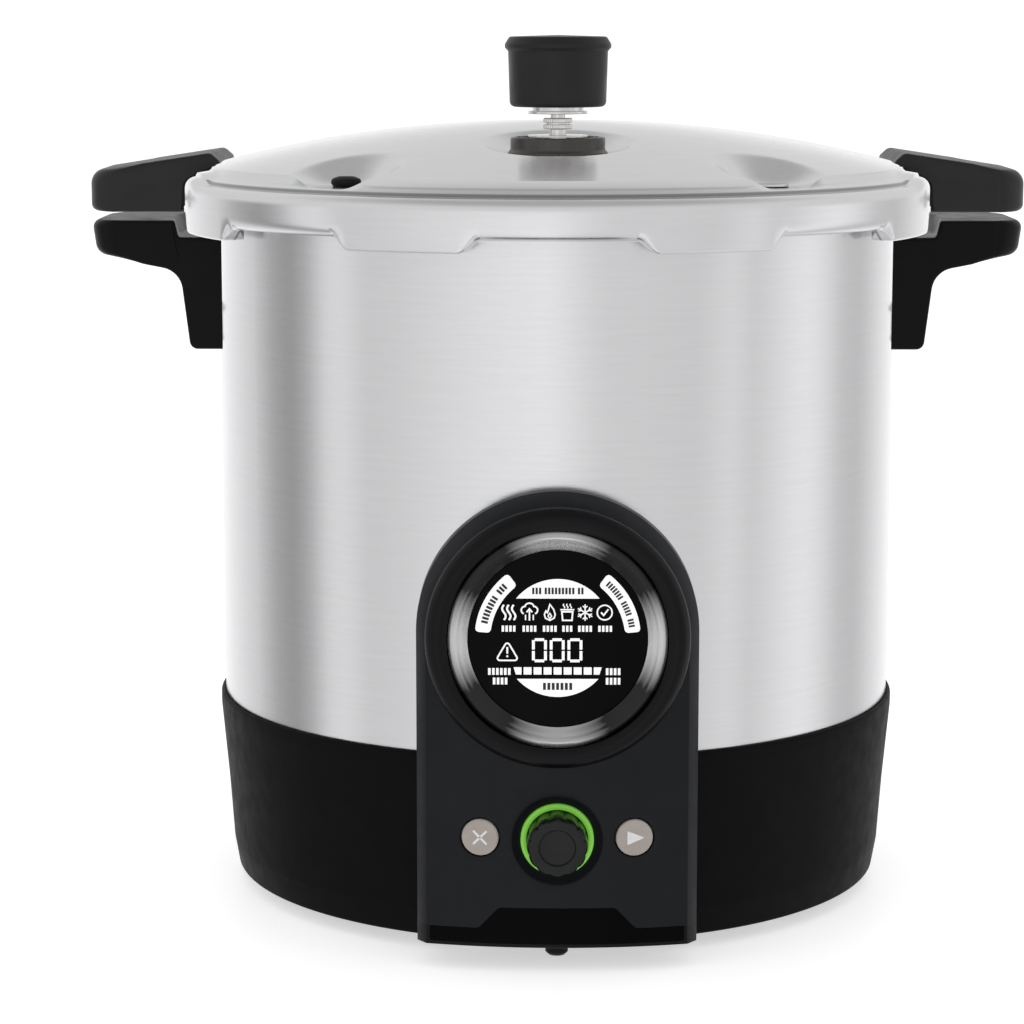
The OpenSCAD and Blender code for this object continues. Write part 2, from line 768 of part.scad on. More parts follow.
// A push button ends in a stem over its switch
module push_button(side) {
    button_place(side) difference() {
        union() {
            translate([0, 0, -3.2]) cylinder(d = button_d, h = 3.2);
            cylinder(d1 = button_d, d2 = button_d - 0.8, h = 0.5);
        }
        translate([0, 0, -4.2]) cylinder(d = button_d - 3, h = 2.4);
    }
    tip = board_y + 1.65 + switch_deep + button_travel + 0.3;
    facing_front(side * (button_x - 0.9), -tip, button_z)
        cylinder(r = 2, h = -face_y(button_x) - tip - 1, $fn = 32);
}

module cancel_button() color([0.61, 0.57, 0.55]) {
    push_button(-1);
}

module start_button() color([0.61, 0.57, 0.55]) {
    push_button(1);
}

// ---- Handles ----

handle_half = handle_span / 2;

// Seen from above, a handle's outer corners are round
module handle_plan(low, high) {
    translate([0, 0, low]) linear_extrude(high - low) polygon(rounded([
        [120, -handle_w / 2], [handle_half, -handle_w / 2, 16],
        [handle_half, handle_w / 2, 16], [120, handle_w / 2]
    ], 8));
}

module side_prism(outline) {
    translate([0, handle_w / 2, 0]) rotate([90, 0, 0]) linear_extrude(handle_w) polygon(outline);
}

body_handle_low = rim_z - 60.4;
body_handle_outline = rounded([
    [pot_r - 8, rim_z - 5.8], [handle_half, rim_z - 5.8, 4], [handle_half - 2, rim_z - 20.2, 5],
    [pot_r + 14.6, rim_z - 27.3, 10], [pot_r + 10.6, body_handle_low, 3.5], [pot_r - 8, body_handle_low]
], 6);
// The cover's skirt turns in a notch that runs round with it
notch_floor = rim_z - 12.8;

module body_handle(side) {
    mirror([side, 0, 0]) difference() {
        intersection() {
            side_prism(body_handle_outline);
            handle_plan(rim_z - 70, rim_z);
        }
        cylinder(r = pot_r + 0.3, h = rim_z + 5);
        translate([0, 0, notch_floor]) cylinder(r1 = skirt_r + 2, r2 = skirt_r + 4, h = 10);
        translate([pot_r - 5, -12, rim_z - 50.8]) cube([14.2, 24, 22]);
        handle_screw_place() cylinder(r = 1.9, h = 30, $fn = 24);
        handle_screw_place() translate([0, 0, -1]) cylinder(r = 3.4, h = 3.4, $fn = 32);
    }
}

module handle_screw_place() {
    translate([pot_r + 5.4, 0, body_handle_low]) children();
}

module body_handle_left() color([0.13, 0.13, 0.14]) {
    body_handle(1);
}

module body_handle_right() color([0.13, 0.13, 0.14]) {
    body_handle(0);
}

module body_handle_brackets() color("lightgray") {
    both_sides() difference() {
        union() {
            intersection() {
                difference() {
                    cylinder(r = pot_r + 1.7, h = rim_z);
                    translate([0, 0, -1]) cylinder(r = pot_r + 0.05, h = rim_z + 2);
                }
                translate([pot_r - 5, -10, rim_z - 49.8]) cube([10, 20, 20]);
            }
            translate([pot_r + 1, -8, rim_z - 46.8]) cube([8, 16, 2]);
        }
        handle_screw_place() cylinder(r = 1.55, h = 30, $fn = 24);
    }
}

module body_handle_screws() color("dimgray") {
    both_sides() handle_screw_place() translate([0, 0, 0.4]) pan_screw(1.5, 3.1, 1.9, 15);
}

// ---- Cover ----

dome_arc_steps = 24;
function dome_arc(drop, from, to) =
    [for (i = [0:dome_arc_steps]) let (r = from + (to - from) * i / dome_arc_steps) [r, dome_z(r) - drop]];

// Outer surface of the cover from the skirt's top corner to the dome's top, and the sheet's inner surface
cover_outer = rounded([
    [skirt_r, lip_low + 5.2], [skirt_r, skirt_top, 5], [pot_r + 9, skirt_top + 0.3, 1],
    [pot_r + 7, rim_z + 11.4, 0.6], [pot_r + 5.2, rim_z + 12.8, 1], [dome_edge_r, dome_edge_z]
], 5);
lip_centre = [skirt_r - 5.2, lip_low + 5.2];
function lip_arc(r, a0, a1) =
    [for (i = [0:6]) let (a = a0 + (a1 - a0) * i / 6) lip_centre + r * [cos(a), sin(a)]];

cover_outline = concat(
    [for (i = [1:len(cover_outer) - 2]) cover_outer[i]],
    dome_arc(0, dome_edge_r, 0),
    dome_arc(cover_wall, 0, pot_r + 0.8),
    [[pot_r + 3.2, rim_z + 9.4], [pot_r + 5, rim_z + 8]],
    [[skirt_in - 1.6, rim_z + 7.7], [skirt_in, rim_z + 6.4]],
    [[skirt_in, lip_centre.y]],
    lip_arc(5.2 - cover_wall, 0, -90),
    lip_arc(5.2, -90, 0)
);

// Seen in section, one hook: the skirt runs lower and turns in under the pot's lugs
hook_outline = rounded([
    [skirt_in - 0.1, rim_z + 5], [skirt_in + 1.6, rim_z + 6],
    [skirt_r, rim_z + 4], [skirt_r, skirt_low, 1.2],
    [pot_r + 4.2, skirt_low, 1], [pot_r + 4.2, skirt_low + 3.2], [skirt_in, skirt_low + 3.6]
], 3);

// Seen in section, one seat: the cover's shoulder is raised where a handle sits on it
seat_angle = 40;
seat_outline = rounded([
    [skirt_in + 0.5, rim_z + 6.9], [skirt_r, rim_z + 6.9], [skirt_r, rim_z + 13.4, 5],
    [dome_edge_r - 3, dome_edge_z + 0.2], [dome_edge_r - 2, dome_edge_z - 2], [pot_r + 3.6, rim_z + 9.9],
    [pot_r + 5.1, rim_z + 8.6], [skirt_in - 1.2, rim_z + 8.2]
], 5);

module under_dome(low) {
    rotate_extrude() polygon(concat([[0, low]], [[pot_r + 4.6, low]], dome_arc(0.02, dome_edge_r, 0)));
}

module dimple_places() {
    for (side = [-1, 1]) rotate(side * dimple_angle - 90) translate([dimple_at, 0, 0]) children();
}

module fitting_place(side) {
    translate([side * fitting_x, fitting_y, 0]) children();
}

module vent_place() {
    translate([0, -vent_y, 0]) children();
}

module cover() color("whitesmoke") {
    difference() {
        union() {
            rotate_extrude($fn = 180) polygon(cover_outline);
            around(lug_count, (lug_pitch - hook_angle) / 2)
                rotate_extrude(angle = hook_angle, $fn = 180) polygon(hook_outline);
            around(2, -seat_angle / 2)
                rotate_extrude(angle = seat_angle, $fn = 180) polygon(seat_outline);
            intersection() {
                under_dome(dimple_z - cover_wall);
                dimple_places() translate([0, 0, dimple_z - cover_wall]) cylinder(r = dimple_r + 2.4, h = 30);
            }
            intersection() {
                under_dome(vent_flat_z - cover_wall);
                vent_place() translate([0, 0, vent_flat_z - cover_wall])
                    cylinder(r = vent_flat_r + 2.4, h = 20);
            }
        }
        dimple_places() translate([0, 0, dimple_z]) cylinder(r = dimple_r, h = 30);
        vent_place() translate([0, 0, vent_flat_z]) cylinder(r = vent_flat_r, h = 20);
        vent_place() translate([0, 0, rim_z]) cylinder(r = 5.1, h = 40, $fn = 48);
        fitting_place(-1) translate([0, 0, rim_z]) cylinder(r = 4.5, h = 30, $fn = 48);
        fitting_place(1) translate([0, 0, rim_z]) cylinder(r = 4.6, h = 30, $fn = 48);
    }
}

module sealing_ring() color([0.16, 0.16, 0.16]) {
    rotate_extrude($fn = 180) polygon(rounded([
        [pot_in + 1, rim_z + 0.3, 1], [skirt_in - 2.6, rim_z + 0.3, 2], [skirt_in - 0.5, rim_z + 5.6, 1.6],
        [skirt_in - 2.2, rim_z + 7.3, 1], [pot_r + 5, rim_z + 7.5, 1], [pot_in + 1, rim_z + 3.2, 1]
    ], 4));
}

cover_handle_outline = rounded([
    [pot_r - 3, rim_z + 13], [pot_r - 3, rim_z + 19, 2], [pot_r + 1, rim_z + 22.6, 3.5],
    [handle_half, rim_z + 14.6, 6.5], [handle_half, rim_z - 2.3, 3], [skirt_r - 8, rim_z - 2.3]
], 6);

module cover_handle(side) {
    clearance = [
        [0, 0], [skirt_r + 0.4, 0], [skirt_r + 0.4, rim_z + 9.2], [skirt_r - 0.3, rim_z + 12],
        [skirt_r - 2.2, rim_z + 14], [skirt_r - 4.2, rim_z + 14.8], [dome_edge_r + 0.3, dome_edge_z + 0.4]
    ];
    mirror([side, 0, 0]) difference() {
        intersection() {
            side_prism(cover_handle_outline);
            handle_plan(rim_z - 5, rim_z + 30);
        }
        rotate_extrude() polygon(concat(clearance, dome_arc(-0.25, dome_edge_r, 0)));
        translate([skirt_r - 2, -9.5, rim_z + 0.6]) cube([30, 19, 4.6]);
        cover_screw_place() cylinder(r = 1.9, h = 14, $fn = 24);
        cover_screw_place() translate([0, 0, -1]) cylinder(r = 3.4, h = 3, $fn = 32);
    }
}

module cover_screw_place() {
    translate([skirt_r + 17, 0, rim_z - 2.3]) children();
}

module cover_handle_left() color([0.13, 0.13, 0.14]) {
    cover_handle(1);
}

module cover_handle_right() color([0.13, 0.13, 0.14]) {
    cover_handle(0);
}

module cover_handle_brackets() color("lightgray") {
    both_sides() difference() {
        union() {
            translate([skirt_r - 1, -8.5, rim_z + 1.2]) cube([26, 17, 2]);
            intersection() {
                difference() {
                    cylinder(r = skirt_r + 1.4, h = rim_z + 5);
                    translate([0, 0, -1]) cylinder(r = skirt_r + 0.02, h = rim_z + 9);
                }
                translate([skirt_r - 4, -9, rim_z + 0.8]) cube([10, 18, 4]);
            }
        }
        cylinder(r = skirt_r + 0.02, h = rim_z + 9);
        cover_screw_place() cylinder(r = 1.55, h = 14, $fn = 24);
    }
}

module cover_handle_screws() color("dimgray") {
    both_sides() cover_screw_place() translate([0, 0, 0.3]) pan_screw(1.5, 3.1, 1.6, 6.5);
}

// ---- Vent pipe, safety fittings and regulator ----

pipe_top = rim_z + 55;

module vent_pipe() color("silver") {
    vent_place() difference() {
        union() {
            translate([0, 0, rim_z + 12]) cylinder(r = 5, h = 8.6, $fn = 48);
            translate([0, 0, vent_flat_z]) cylinder(r = 9, h = 2.6, $fn = 6);
            translate([0, 0, rim_z + 20]) cylinder(r = 3.5, h = 18, $fn = 48);
            translate([0, 0, rim_z + 34.6]) cylinder(r = 5.8, h = 1.9, $fn = 48);
            translate([0, 0, rim_z + 36.5]) cylinder(r = 5.2, h = 0.5, $fn = 48);
            translate([0, 0, rim_z + 37]) cylinder(r = 5.8, h = 2, $fn = 48);
            translate([0, 0, rim_z + 39]) cylinder(r = 3, h = 13, $fn = 48);
            translate([0, 0, rim_z + 52]) cylinder(r1 = 3, r2 = 1.9, h = pipe_top - rim_z - 52, $fn = 48);
        }
        translate([0, 0, rim_z + 8]) cylinder(r = 1.3, h = 60, $fn = 32);
    }
}

module vent_lock_nut() color("dimgray") {
    vent_place() translate([0, 0, rim_z + 14]) difference() {
        cylinder(r = 9.2, h = 4.6, $fn = 6);
        translate([0, 0, -1]) cylinder(r = 5.02, h = 8, $fn = 48);
    }
}

module vent_washer() color("silver") {
    vent_place() translate([0, 0, rim_z + 31.4]) difference() {
        cylinder(r = 12, h = 0.8, $fn = 64);
        translate([0, 0, -1]) cylinder(r = 3.55, h = 3, $fn = 48);
    }
}

module vent_collar() color([0.2, 0.19, 0.18]) {
    vent_place() difference() {
        rotate_extrude($fn = 96) polygon(rounded([
            [9.4, rim_z + 24.4], [20.1, rim_z + 24.4], [20.1, rim_z + 25.2, 0.3], [19, rim_z + 26.4, 1.5],
            [19, rim_z + 31.4, 0.7], [16.6, rim_z + 31.4, 0.5], [15.8, rim_z + 28], [9.4, rim_z + 27]
        ], 4));
    }
}

module overpressure_plug() color([0.08, 0.08, 0.08]) {
    fitting_place(-1) rotate_extrude($fn = 64) polygon(rounded([
        [0, rim_z + 5.4], [6.6, rim_z + 5.4, 1], [6.6, rim_z + 8.9], [4.4, rim_z + 8.9],
        [4.4, dimple_z + 0.05], [6.25, dimple_z + 0.05], [6.25, dimple_z + 2.4, 1.2],
        [4.6, dimple_z + 4, 1.4], [0, dimple_z + 4.2]
    ], 4));
}

module lock_grommet() color([0.1, 0.1, 0.1]) {
    fitting_place(1) rotate_extrude($fn = 64) polygon([
        [2.9, rim_z + 6], [7.2, rim_z + 6], [7.2, rim_z + 8.9], [4.5, rim_z + 8.9],
        [4.5, dimple_z + 0.1], [2.9, dimple_z + 0.1]
    ]);
}

module cover_lock_pin() color("lightgray") {
    fitting_place(1) {
        translate([0, 0, dimple_z + 0.4]) cylinder(r1 = 7.6, r2 = 7.2, h = 1.1, $fn = 64);
        translate([0, 0, rim_z - 3.6]) cylinder(r = 2.5, h = 16.2, $fn = 32);
        translate([0, 0, rim_z - 5.4]) cylinder(r = 4, h = 1.9, $fn = 32);
    }
}

cap_r = cap_d / 2;

module regulator_cap() color([0.15, 0.15, 0.16]) {
    vent_place() rotate_extrude($fn = 96) polygon(rounded([
        [16.9, rim_z + 43.4], [cap_r - 2, rim_z + 43.4, 2], [cap_r - 1.3, rim_z + 65.5, 1],
        [cap_r, rim_z + 66.8, 0.6], [cap_r, rim_z + 68, 0.6], [cap_r - 1.8, rim_z + 71.2, 1.4],
        [0, rim_z + 71.8], [0, rim_z + 67.4], [16.9, rim_z + 67.4]
    ], 4));
}

module regulator_weight() color("gainsboro") {
    vent_place() difference() {
        union() {
            translate([0, 0, rim_z + 40.6]) cylinder(r = 12, h = 1.2, $fn = 64);
            translate([0, 0, rim_z + 41.8]) cylinder(r = 10.4, h = 3.4, $fn = 64);
            translate([0, 0, rim_z + 45.2]) cylinder(r = 16.8, h = 22, $fn = 64);
        }
        translate([0, 0, rim_z + 39]) cylinder(r = 3.35, h = 13.2, $fn = 48);
        translate([0, 0, rim_z + 52.1]) cylinder(r1 = 3.35, r2 = 2.1, h = pipe_top - rim_z - 51.7, $fn = 48);
    }
}

pot();
lock_bracket();
lock_bracket_rivets();
jar_rack();
base_housing();
bottom_plate();
rubber_feet();
bottom_screws();
heat_plate();
heating_element();
element_terminals();
heat_shield();
thermostat();
thermal_fuse();
sensor_holder();
sensor_probe();
sensor_spring();
pot_studs();
stud_nuts();
mounting_ring();
power_board();
power_relay();
terminal_block();
power_inlet();
inlet_pins();
wiring();
panel_housing();
front_fascia();
bottom_trim();
display_ring();
bezel_ring();
display_lens();
display_module();
control_board();
board_screws();
dial_encoder();
tact_switches();
light_ring();
body_handle_left();
body_handle_right();
body_handle_brackets();
body_handle_screws();
sealing_ring();
cover();
cover_handle_left();
cover_handle_right();
cover_handle_brackets();
cover_handle_screws();
vent_pipe();
vent_lock_nut();
vent_washer();
vent_collar();
overpressure_plug();
lock_grommet();
cover_lock_pin();
regulator_cap();
regulator_weight();
dial_knob();
cancel_button();
start_button();
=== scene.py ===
"""Looks of the digital pressure canner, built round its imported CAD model.

Shapes are worked out in millimetres in the CAD's frame: +Z up, front towards -Y, origin on the floor on
the pot's axis. Angles round the pot start at the front (-Y) and grow towards +X.
"""

import json
import math

import bmesh
import bpy
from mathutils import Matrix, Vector
from mathutils.geometry import delaunay_2d_cdt


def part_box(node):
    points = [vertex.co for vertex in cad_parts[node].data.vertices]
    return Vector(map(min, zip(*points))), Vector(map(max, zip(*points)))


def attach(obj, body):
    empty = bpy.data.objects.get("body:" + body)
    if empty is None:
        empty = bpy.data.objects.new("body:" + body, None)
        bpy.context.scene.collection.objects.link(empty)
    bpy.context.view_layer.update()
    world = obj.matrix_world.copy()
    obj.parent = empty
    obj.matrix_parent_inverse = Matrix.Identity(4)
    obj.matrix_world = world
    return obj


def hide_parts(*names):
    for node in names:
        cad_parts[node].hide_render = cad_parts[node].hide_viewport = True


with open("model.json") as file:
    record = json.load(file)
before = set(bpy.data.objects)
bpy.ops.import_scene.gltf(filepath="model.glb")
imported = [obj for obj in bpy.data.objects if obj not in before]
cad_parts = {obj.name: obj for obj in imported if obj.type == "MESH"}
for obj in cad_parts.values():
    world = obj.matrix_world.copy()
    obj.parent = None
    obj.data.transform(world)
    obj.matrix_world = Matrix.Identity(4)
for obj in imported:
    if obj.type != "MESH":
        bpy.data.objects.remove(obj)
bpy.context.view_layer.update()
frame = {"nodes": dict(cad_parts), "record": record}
MM = 0.001
NODE_SLOT = {part["node"]: part["material_slot"] for part in frame["record"]["subparts"]}
NODE_BODY = {
    node: body for body, nodes in frame["record"]["behaviour"]["bodies"].items() for node in nodes
}


def box_mm(node):
    """Lowest and highest corner of a CAD node, in millimetres."""
    low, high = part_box(node)
    return low / MM, high / MM


def middle_mm(node):
    """Middle of a CAD node's box, in millimetres."""
    low, high = box_mm(node)
    return (low + high) / 2


# ---- Driving sizes, from the CAD ----

RIM_Z = box_mm("pot")[1].z
POT_FLOOR_Z = box_mm("pot")[0].z
BASE_R = box_mm("base_housing")[1].x
BASE_LOW = box_mm("base_housing")[0].z
BASE_TOP = box_mm("base_housing")[1].z
POT_R = BASE_R - 2
POT_IN = POT_R - 3
SKIRT_R = box_mm("cover")[1].x
DOME_TOP = box_mm("cover")[1].z
HANDLE_HALF = box_mm("body_handle_right")[1].x
HANDLE_WIDE = box_mm("body_handle_right")[1].y
PANEL_HALF = box_mm("panel_housing")[1].x
PANEL_LOW = box_mm("panel_housing")[0].z
ARCH_Z = box_mm("panel_housing")[1].z - PANEL_HALF
RING_R = box_mm("display_ring")[1].x
DISPLAY_Z = middle_mm("display_ring").z
GLASS_FRONT = 158.6
LENS_R = 34.9
DIAL_Z = middle_mm("light_ring").z
DIAL_R = 11.3
DIAL_FRONT = 172.0
BUTTON_Z = middle_mm("start_button").z
BUTTON_X = 30.3
BUTTON_R = 7.3
VENT_Y = middle_mm("vent_washer").y
FITTING_X = middle_mm("cover_lock_pin").x
FITTING_Y = middle_mm("cover_lock_pin").y
CAP_R = (box_mm("regulator_cap")[1].x - box_mm("regulator_cap")[0].x) / 2

# ---- Outlines ----


def corner(before, point, after, steps):
    """Points of the arc that rounds one corner, given as (x, y, radius)."""
    here = Vector(point[:2])
    u = (Vector(before[:2]) - here).normalized()
    v = (Vector(after[:2]) - here).normalized()
    half = u.angle(v) / 2
    centre = here + (u + v).normalized() * point[2] / math.sin(half)
    start = here + u * point[2] / math.tan(half) - centre
    end = here + v * point[2] / math.tan(half) - centre
    first = math.atan2(start.y, start.x)
    sweep = (math.atan2(end.y, end.x) - first + math.pi) % (2 * math.pi) - math.pi
    angles = [first + sweep * i / steps for i in range(steps + 1)]
    return [(centre.x + point[2] * math.cos(a), centre.y + point[2] * math.sin(a)) for a in angles]


def rounded(points, steps=6, closed=True):
    """Outline whose corners carry their own rounding radius as a third number."""
    result = []
    for i, point in enumerate(points):
        inside = closed or 0 < i < len(points) - 1
        if len(point) == 3 and inside:
            result += corner(points[i - 1], point, points[(i + 1) % len(points)], steps)
        else:
            result.append(tuple(point[:2]))
    return result


def arc(x, y, radius, start, end, steps):
    """Points on a circle, with angles in degrees."""
    angles = [math.radians(start + (end - start) * i / steps) for i in range(steps + 1)]
    return [(x + radius * math.cos(a), y + radius * math.sin(a)) for a in angles]


def dense_outline(outline, spacing, whole=round):
    """The outline with points added, about a spacing apart. Whole turns a length's share into a count."""
    result = []
    for i, (x, z) in enumerate(outline):
        nx, nz = outline[(i + 1) % len(outline)]
        parts = max(1, whole(math.hypot(nx - x, nz - z) / spacing))
        result += [(x + (nx - x) * k / parts, z + (nz - z) * k / parts) for k in range(parts)]
    return result


def inset_outline(outline, amount):
    """The outline, which runs anticlockwise, moved inwards."""
    result = []
    for i, (x, z) in enumerate(outline):
        (ax, az), (bx, bz) = outline[i - 1], outline[(i + 1) % len(outline)]
        length = math.hypot(bx - ax, bz - az) or 1
        result.append((x - (bz - az) / length * amount, z + (bx - ax) / length * amount))
    return result


def smoothstep(t):
    """A soft step from 0 to 1."""
    t = min(max(t, 0), 1)
    return t * t * (3 - 2 * t)


def soft_min(a, b, width):
    """The lower of two heights, with a rounded edge where they meet."""
    h = max(width - abs(a - b), 0) / width
    return min(a, b) - h * h * width / 4


# ---- Mesh tools ----

WELD = 0.002
CAD_WELD = 0.005
SOFT_EDGE = 0.4
SOFT_ANGLE = 50


def add_mesh(name, points, faces, node, material, weld=True):
    """A mesh in millimetres becomes an object that moves with a CAD node."""
    mesh = bpy.data.meshes.new(name)
    mesh.from_pydata([tuple(c * MM for c in p) for p in points], [], faces)
    shape = bmesh.new()
    shape.from_mesh(mesh)
    if weld:
        bmesh.ops.remove_doubles(shape, verts=shape.verts, dist=WELD * MM)
    bmesh.ops.recalc_face_normals(shape, faces=shape.faces)
    shape.to_mesh(mesh)
    shape.free()
    mesh.materials.append(material)
    piece = bpy.data.objects.new(name, mesh)
    bpy.context.scene.collection.objects.link(piece)
    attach(piece, NODE_BODY[node])
    return piece


def add_piece(name, points, faces, node, material=None, sharp=32):
    """A mesh in millimetres becomes a piece that stands for a CAD node."""
    piece = add_mesh(name, points, faces, node, material or look(node))
    piece.data.shade_smooth()
    piece.data.set_sharp_from_angle(angle=math.radians(sharp))
    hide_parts(node)


def soften(node):
    """A CAD piece shown again with its sharp edges rounded off."""
    cad = frame["nodes"][node]
    shape = bmesh.new()
    shape.from_mesh(cad.data)
    shape.transform(cad.matrix_world)
    bmesh.ops.remove_doubles(shape, verts=shape.verts, dist=CAD_WELD * MM)
    bmesh.ops.dissolve_limit(shape, angle_limit=math.radians(1), verts=shape.verts, edges=shape.edges)
    least = math.radians(SOFT_ANGLE)
    sharp = [e for e in shape.edges if len(e.link_faces) == 2 and e.calc_face_angle() > least]
    bmesh.ops.bevel(
        shape, geom=sharp, offset=SOFT_EDGE * MM, offset_type="OFFSET", segments=3, profile=0.5,
        affect="EDGES", clamp_overlap=True
    )
    points = [v.co / MM for v in shape.verts]
    shape.verts.index_update()
    faces = [tuple(v.index for v in face.verts) for face in shape.faces]
    shape.free()
    add_piece(node + "_soft", points, faces, node, sharp=40)


def grid_faces(rows, columns, wrap_rows=False):
    """Quads of a grid of points stored row by row, whose rows are closed loops."""
    faces = []
    for i in range(rows if wrap_rows else rows - 1):
        for j in range(columns):
            a, b = i * columns, (i + 1) % rows * columns
            k = (j + 1) % columns
            faces.append((a + j, a + k, b + k, b + j))
    return faces


def around_z(radius, height, angle, x=0, y=0):
    """A point at an angle round an upright axis."""
    return (x + radius * math.sin(angle), y - radius * math.cos(angle), height)


def around_y(radius, depth, angle, x=0, z=0):
    """A point at an angle round an axis to the front. Depth runs from the pot's axis to the front."""
    return (x + radius * math.cos(angle), -depth, z + radius * math.sin(angle))


def turned(profile_at, angles, place):
    """Points and faces of a turned shape. Its closed profile may change with the angle."""
    points = [place(r, h, a) for a in angles for r, h in profile_at(a)]
    count = len(profile_at(angles[0]))
    return points, grid_faces(len(angles), count, wrap_rows=True)


def even_angles(count):
    return [2 * math.pi * i / count for i in range(count)]


def lathe(name, profile, node, x=0, y=0, steps=96, **options):
    """A round piece on an upright axis."""
    place = lambda r, h, a: around_z(r, h, a, x, y)
    add_piece(name, *turned(lambda a: profile, even_angles(steps), place), node, **options)


def front_lathe(name, profile, node, z, steps=128, **options):
    """A round piece on an axis that points to the front."""
    place = lambda r, d, a: around_y(r, d, a, 0, z)
    add_piece(name, *turned(lambda a: profile, even_angles(steps), place), node, **options)


class Builder:
    """Collects the points and faces of one piece."""

    def __init__(self):
        self.points = []
        self.faces = []

    def add(self, points, faces):
        start = len(self.points)
        self.points += points
        self.faces += [tuple(start + i for i in face) for face in faces]

    def loops(self, loops):
        """Joins closed loops of equal length into a band."""
        self.add([p for loop in loops for p in loop], grid_faces(len(loops), len(loops[0])))

    def plate(self, loops):
        """A solid between two flat loops of equal length."""
        count = len(loops[0])
        ends = [tuple(range(count)), tuple(range(count, 2 * count))]
        self.add(loops[0] + loops[1], ends + grid_faces(2, count))


# ---- Materials ----

SLOW_TURN = 0.02
TRIM_SIDE = PANEL_LOW + 7.6


class Material:
    """A node material with a Principled shader."""

    def __init__(self, name, color, roughness, metallic=0.0):
        self.block = bpy.data.materials.new(name)
        self.block.use_nodes = True
        self.nodes = self.block.node_tree.nodes
        self.links = self.block.node_tree.links
        self.shader = self.nodes["Principled BSDF"]
        self.color = color
        self.roughness = roughness
        self.shader.inputs["Metallic"].default_value = metallic
        self.place = self.nodes.new("ShaderNodeTexCoord").outputs["Object"]

    def node(self, kind, **settings):
        """A new shader node."""
        node = self.nodes.new(kind)
        for key, value in settings.items():
            setattr(node, key, value)
        return node

    def math(self, operation, a, b=0.0):
        """Arithmetic on two values or outputs."""
        node = self.node("ShaderNodeMath", operation=operation)
        for socket, value in zip(node.inputs, (a, b)):
            if isinstance(value, (int, float)):
                socket.default_value = value
            else:
                self.links.new(value, socket)
        return node.outputs[0]

    def axes(self, place=None):
        """The three parts of a place on the object, or of another vector."""
        split = self.node("ShaderNodeSeparateXYZ")
        self.links.new(place or self.place, split.inputs[0])
        return split.outputs

    def distance(self, a, b):
        """Length of a flat vector."""
        square = self.math("MULTIPLY", a, a)
        return self.math("SQRT", self.math("ADD", square, self.math("MULTIPLY", b, b)))

    def noise(self, scale, stretch=(1, 1, 1), detail=4.0, place=None):
        """Noise with a scale per metre, drawn out along the axes whose stretch is small."""
        mapping = self.node("ShaderNodeMapping")
        mapping.inputs["Scale"].default_value = [s * scale for s in stretch]
        self.links.new(place or self.place, mapping.inputs["Vector"])
        noise = self.node("ShaderNodeTexNoise")
        noise.inputs["Scale"].default_value = 1.0
        noise.inputs["Detail"].default_value = detail
        self.links.new(mapping.outputs[0], noise.inputs["Vector"])
        return noise.outputs["Fac"]

    def round_place(self):
        """Coordinates (distance from the pot's axis, height, a slow turn) for brushed metal."""
        x, y, z = self.axes()
        join = self.node("ShaderNodeCombineXYZ")
        self.links.new(self.distance(x, y), join.inputs[0])
        self.links.new(z, join.inputs[1])
        self.links.new(self.math("MULTIPLY", self.math("ARCTAN2", x, y), SLOW_TURN), join.inputs[2])
        return join.outputs[0]

    def front_place(self, height):
        """Coordinates (distance from an axis towards the front, depth) and the turn round that axis."""
        x, y, z = self.axes()
        up = self.math("SUBTRACT", z, height * MM)
        join = self.node("ShaderNodeCombineXYZ")
        self.links.new(self.distance(x, up), join.inputs[0])
        self.links.new(y, join.inputs[1])
        return join.outputs[0], self.math("ARCTAN2", up, x)

    def tint(self, fac, spread):
        """The base colour varies by a share to either side with a noise."""
        ramp = self.node("ShaderNodeValToRGB")
        ramp.color_ramp.elements[0].position = 0.3
        ramp.color_ramp.elements[1].position = 0.7
        for element, share in zip(ramp.color_ramp.elements, (1 - spread, 1 + spread)):
            element.color = [min(c * share, 1.0) for c in self.color] + [1.0]
        self.links.new(fac, ramp.inputs[0])
        self.links.new(ramp.outputs[0], self.shader.inputs["Base Color"])
        return self

    def between(self, value, start, end, low, high):
        """Maps the values from start to end onto low to high."""
        node = self.node("ShaderNodeMapRange")
        for key, amount in (("From Min", start), ("From Max", end), ("To Min", low), ("To Max", high)):
            node.inputs[key].default_value = amount
        self.links.new(value, node.inputs["Value"])
        return node.outputs["Result"]

    def gloss(self, fac, spread):
        """The roughness varies by a value to either side with a noise."""
        rough = self.between(fac, 0.3, 0.7, self.roughness - spread, self.roughness + spread)
        self.links.new(rough, self.shader.inputs["Roughness"])
        return self

    def over(self, fac, color):
        """Lays another base colour over the one that is there."""
        mix = self.node("ShaderNodeMixRGB")
        self.links.new(fac, mix.inputs["Fac"])
        self.links.new(self.shader.inputs["Base Color"].links[0].from_socket, mix.inputs["Color1"])
        mix.inputs["Color2"].default_value = (*color, 1.0)
        self.links.new(mix.outputs[0], self.shader.inputs["Base Color"])
        return self

    def foot(self, height, color):
        """Another base colour below a height."""
        return self.over(self.math("LESS_THAN", self.axes()[2], height * MM), color)

    def line_round(self, place, radius, half, below, color):
        """A soft line of another base colour round the axis that place was measured from."""
        out, height, _ = self.axes(place)
        away = self.math("ABSOLUTE", self.math("SUBTRACT", out, radius * MM))
        near = self.between(away, half * 0.4 * MM, half * 1.3 * MM, 0.8, 0.0)
        low = self.math("LESS_THAN", height, below * MM)
        return self.over(self.math("MULTIPLY", near, low), color)

    def bump(self, fac, height_mm):
        """The surface rises and falls with a noise."""
        bump = self.node("ShaderNodeBump")
        bump.inputs["Distance"].default_value = height_mm * MM
        self.links.new(fac, bump.inputs["Height"])
        self.links.new(bump.outputs[0], self.shader.inputs["Normal"])
        return self

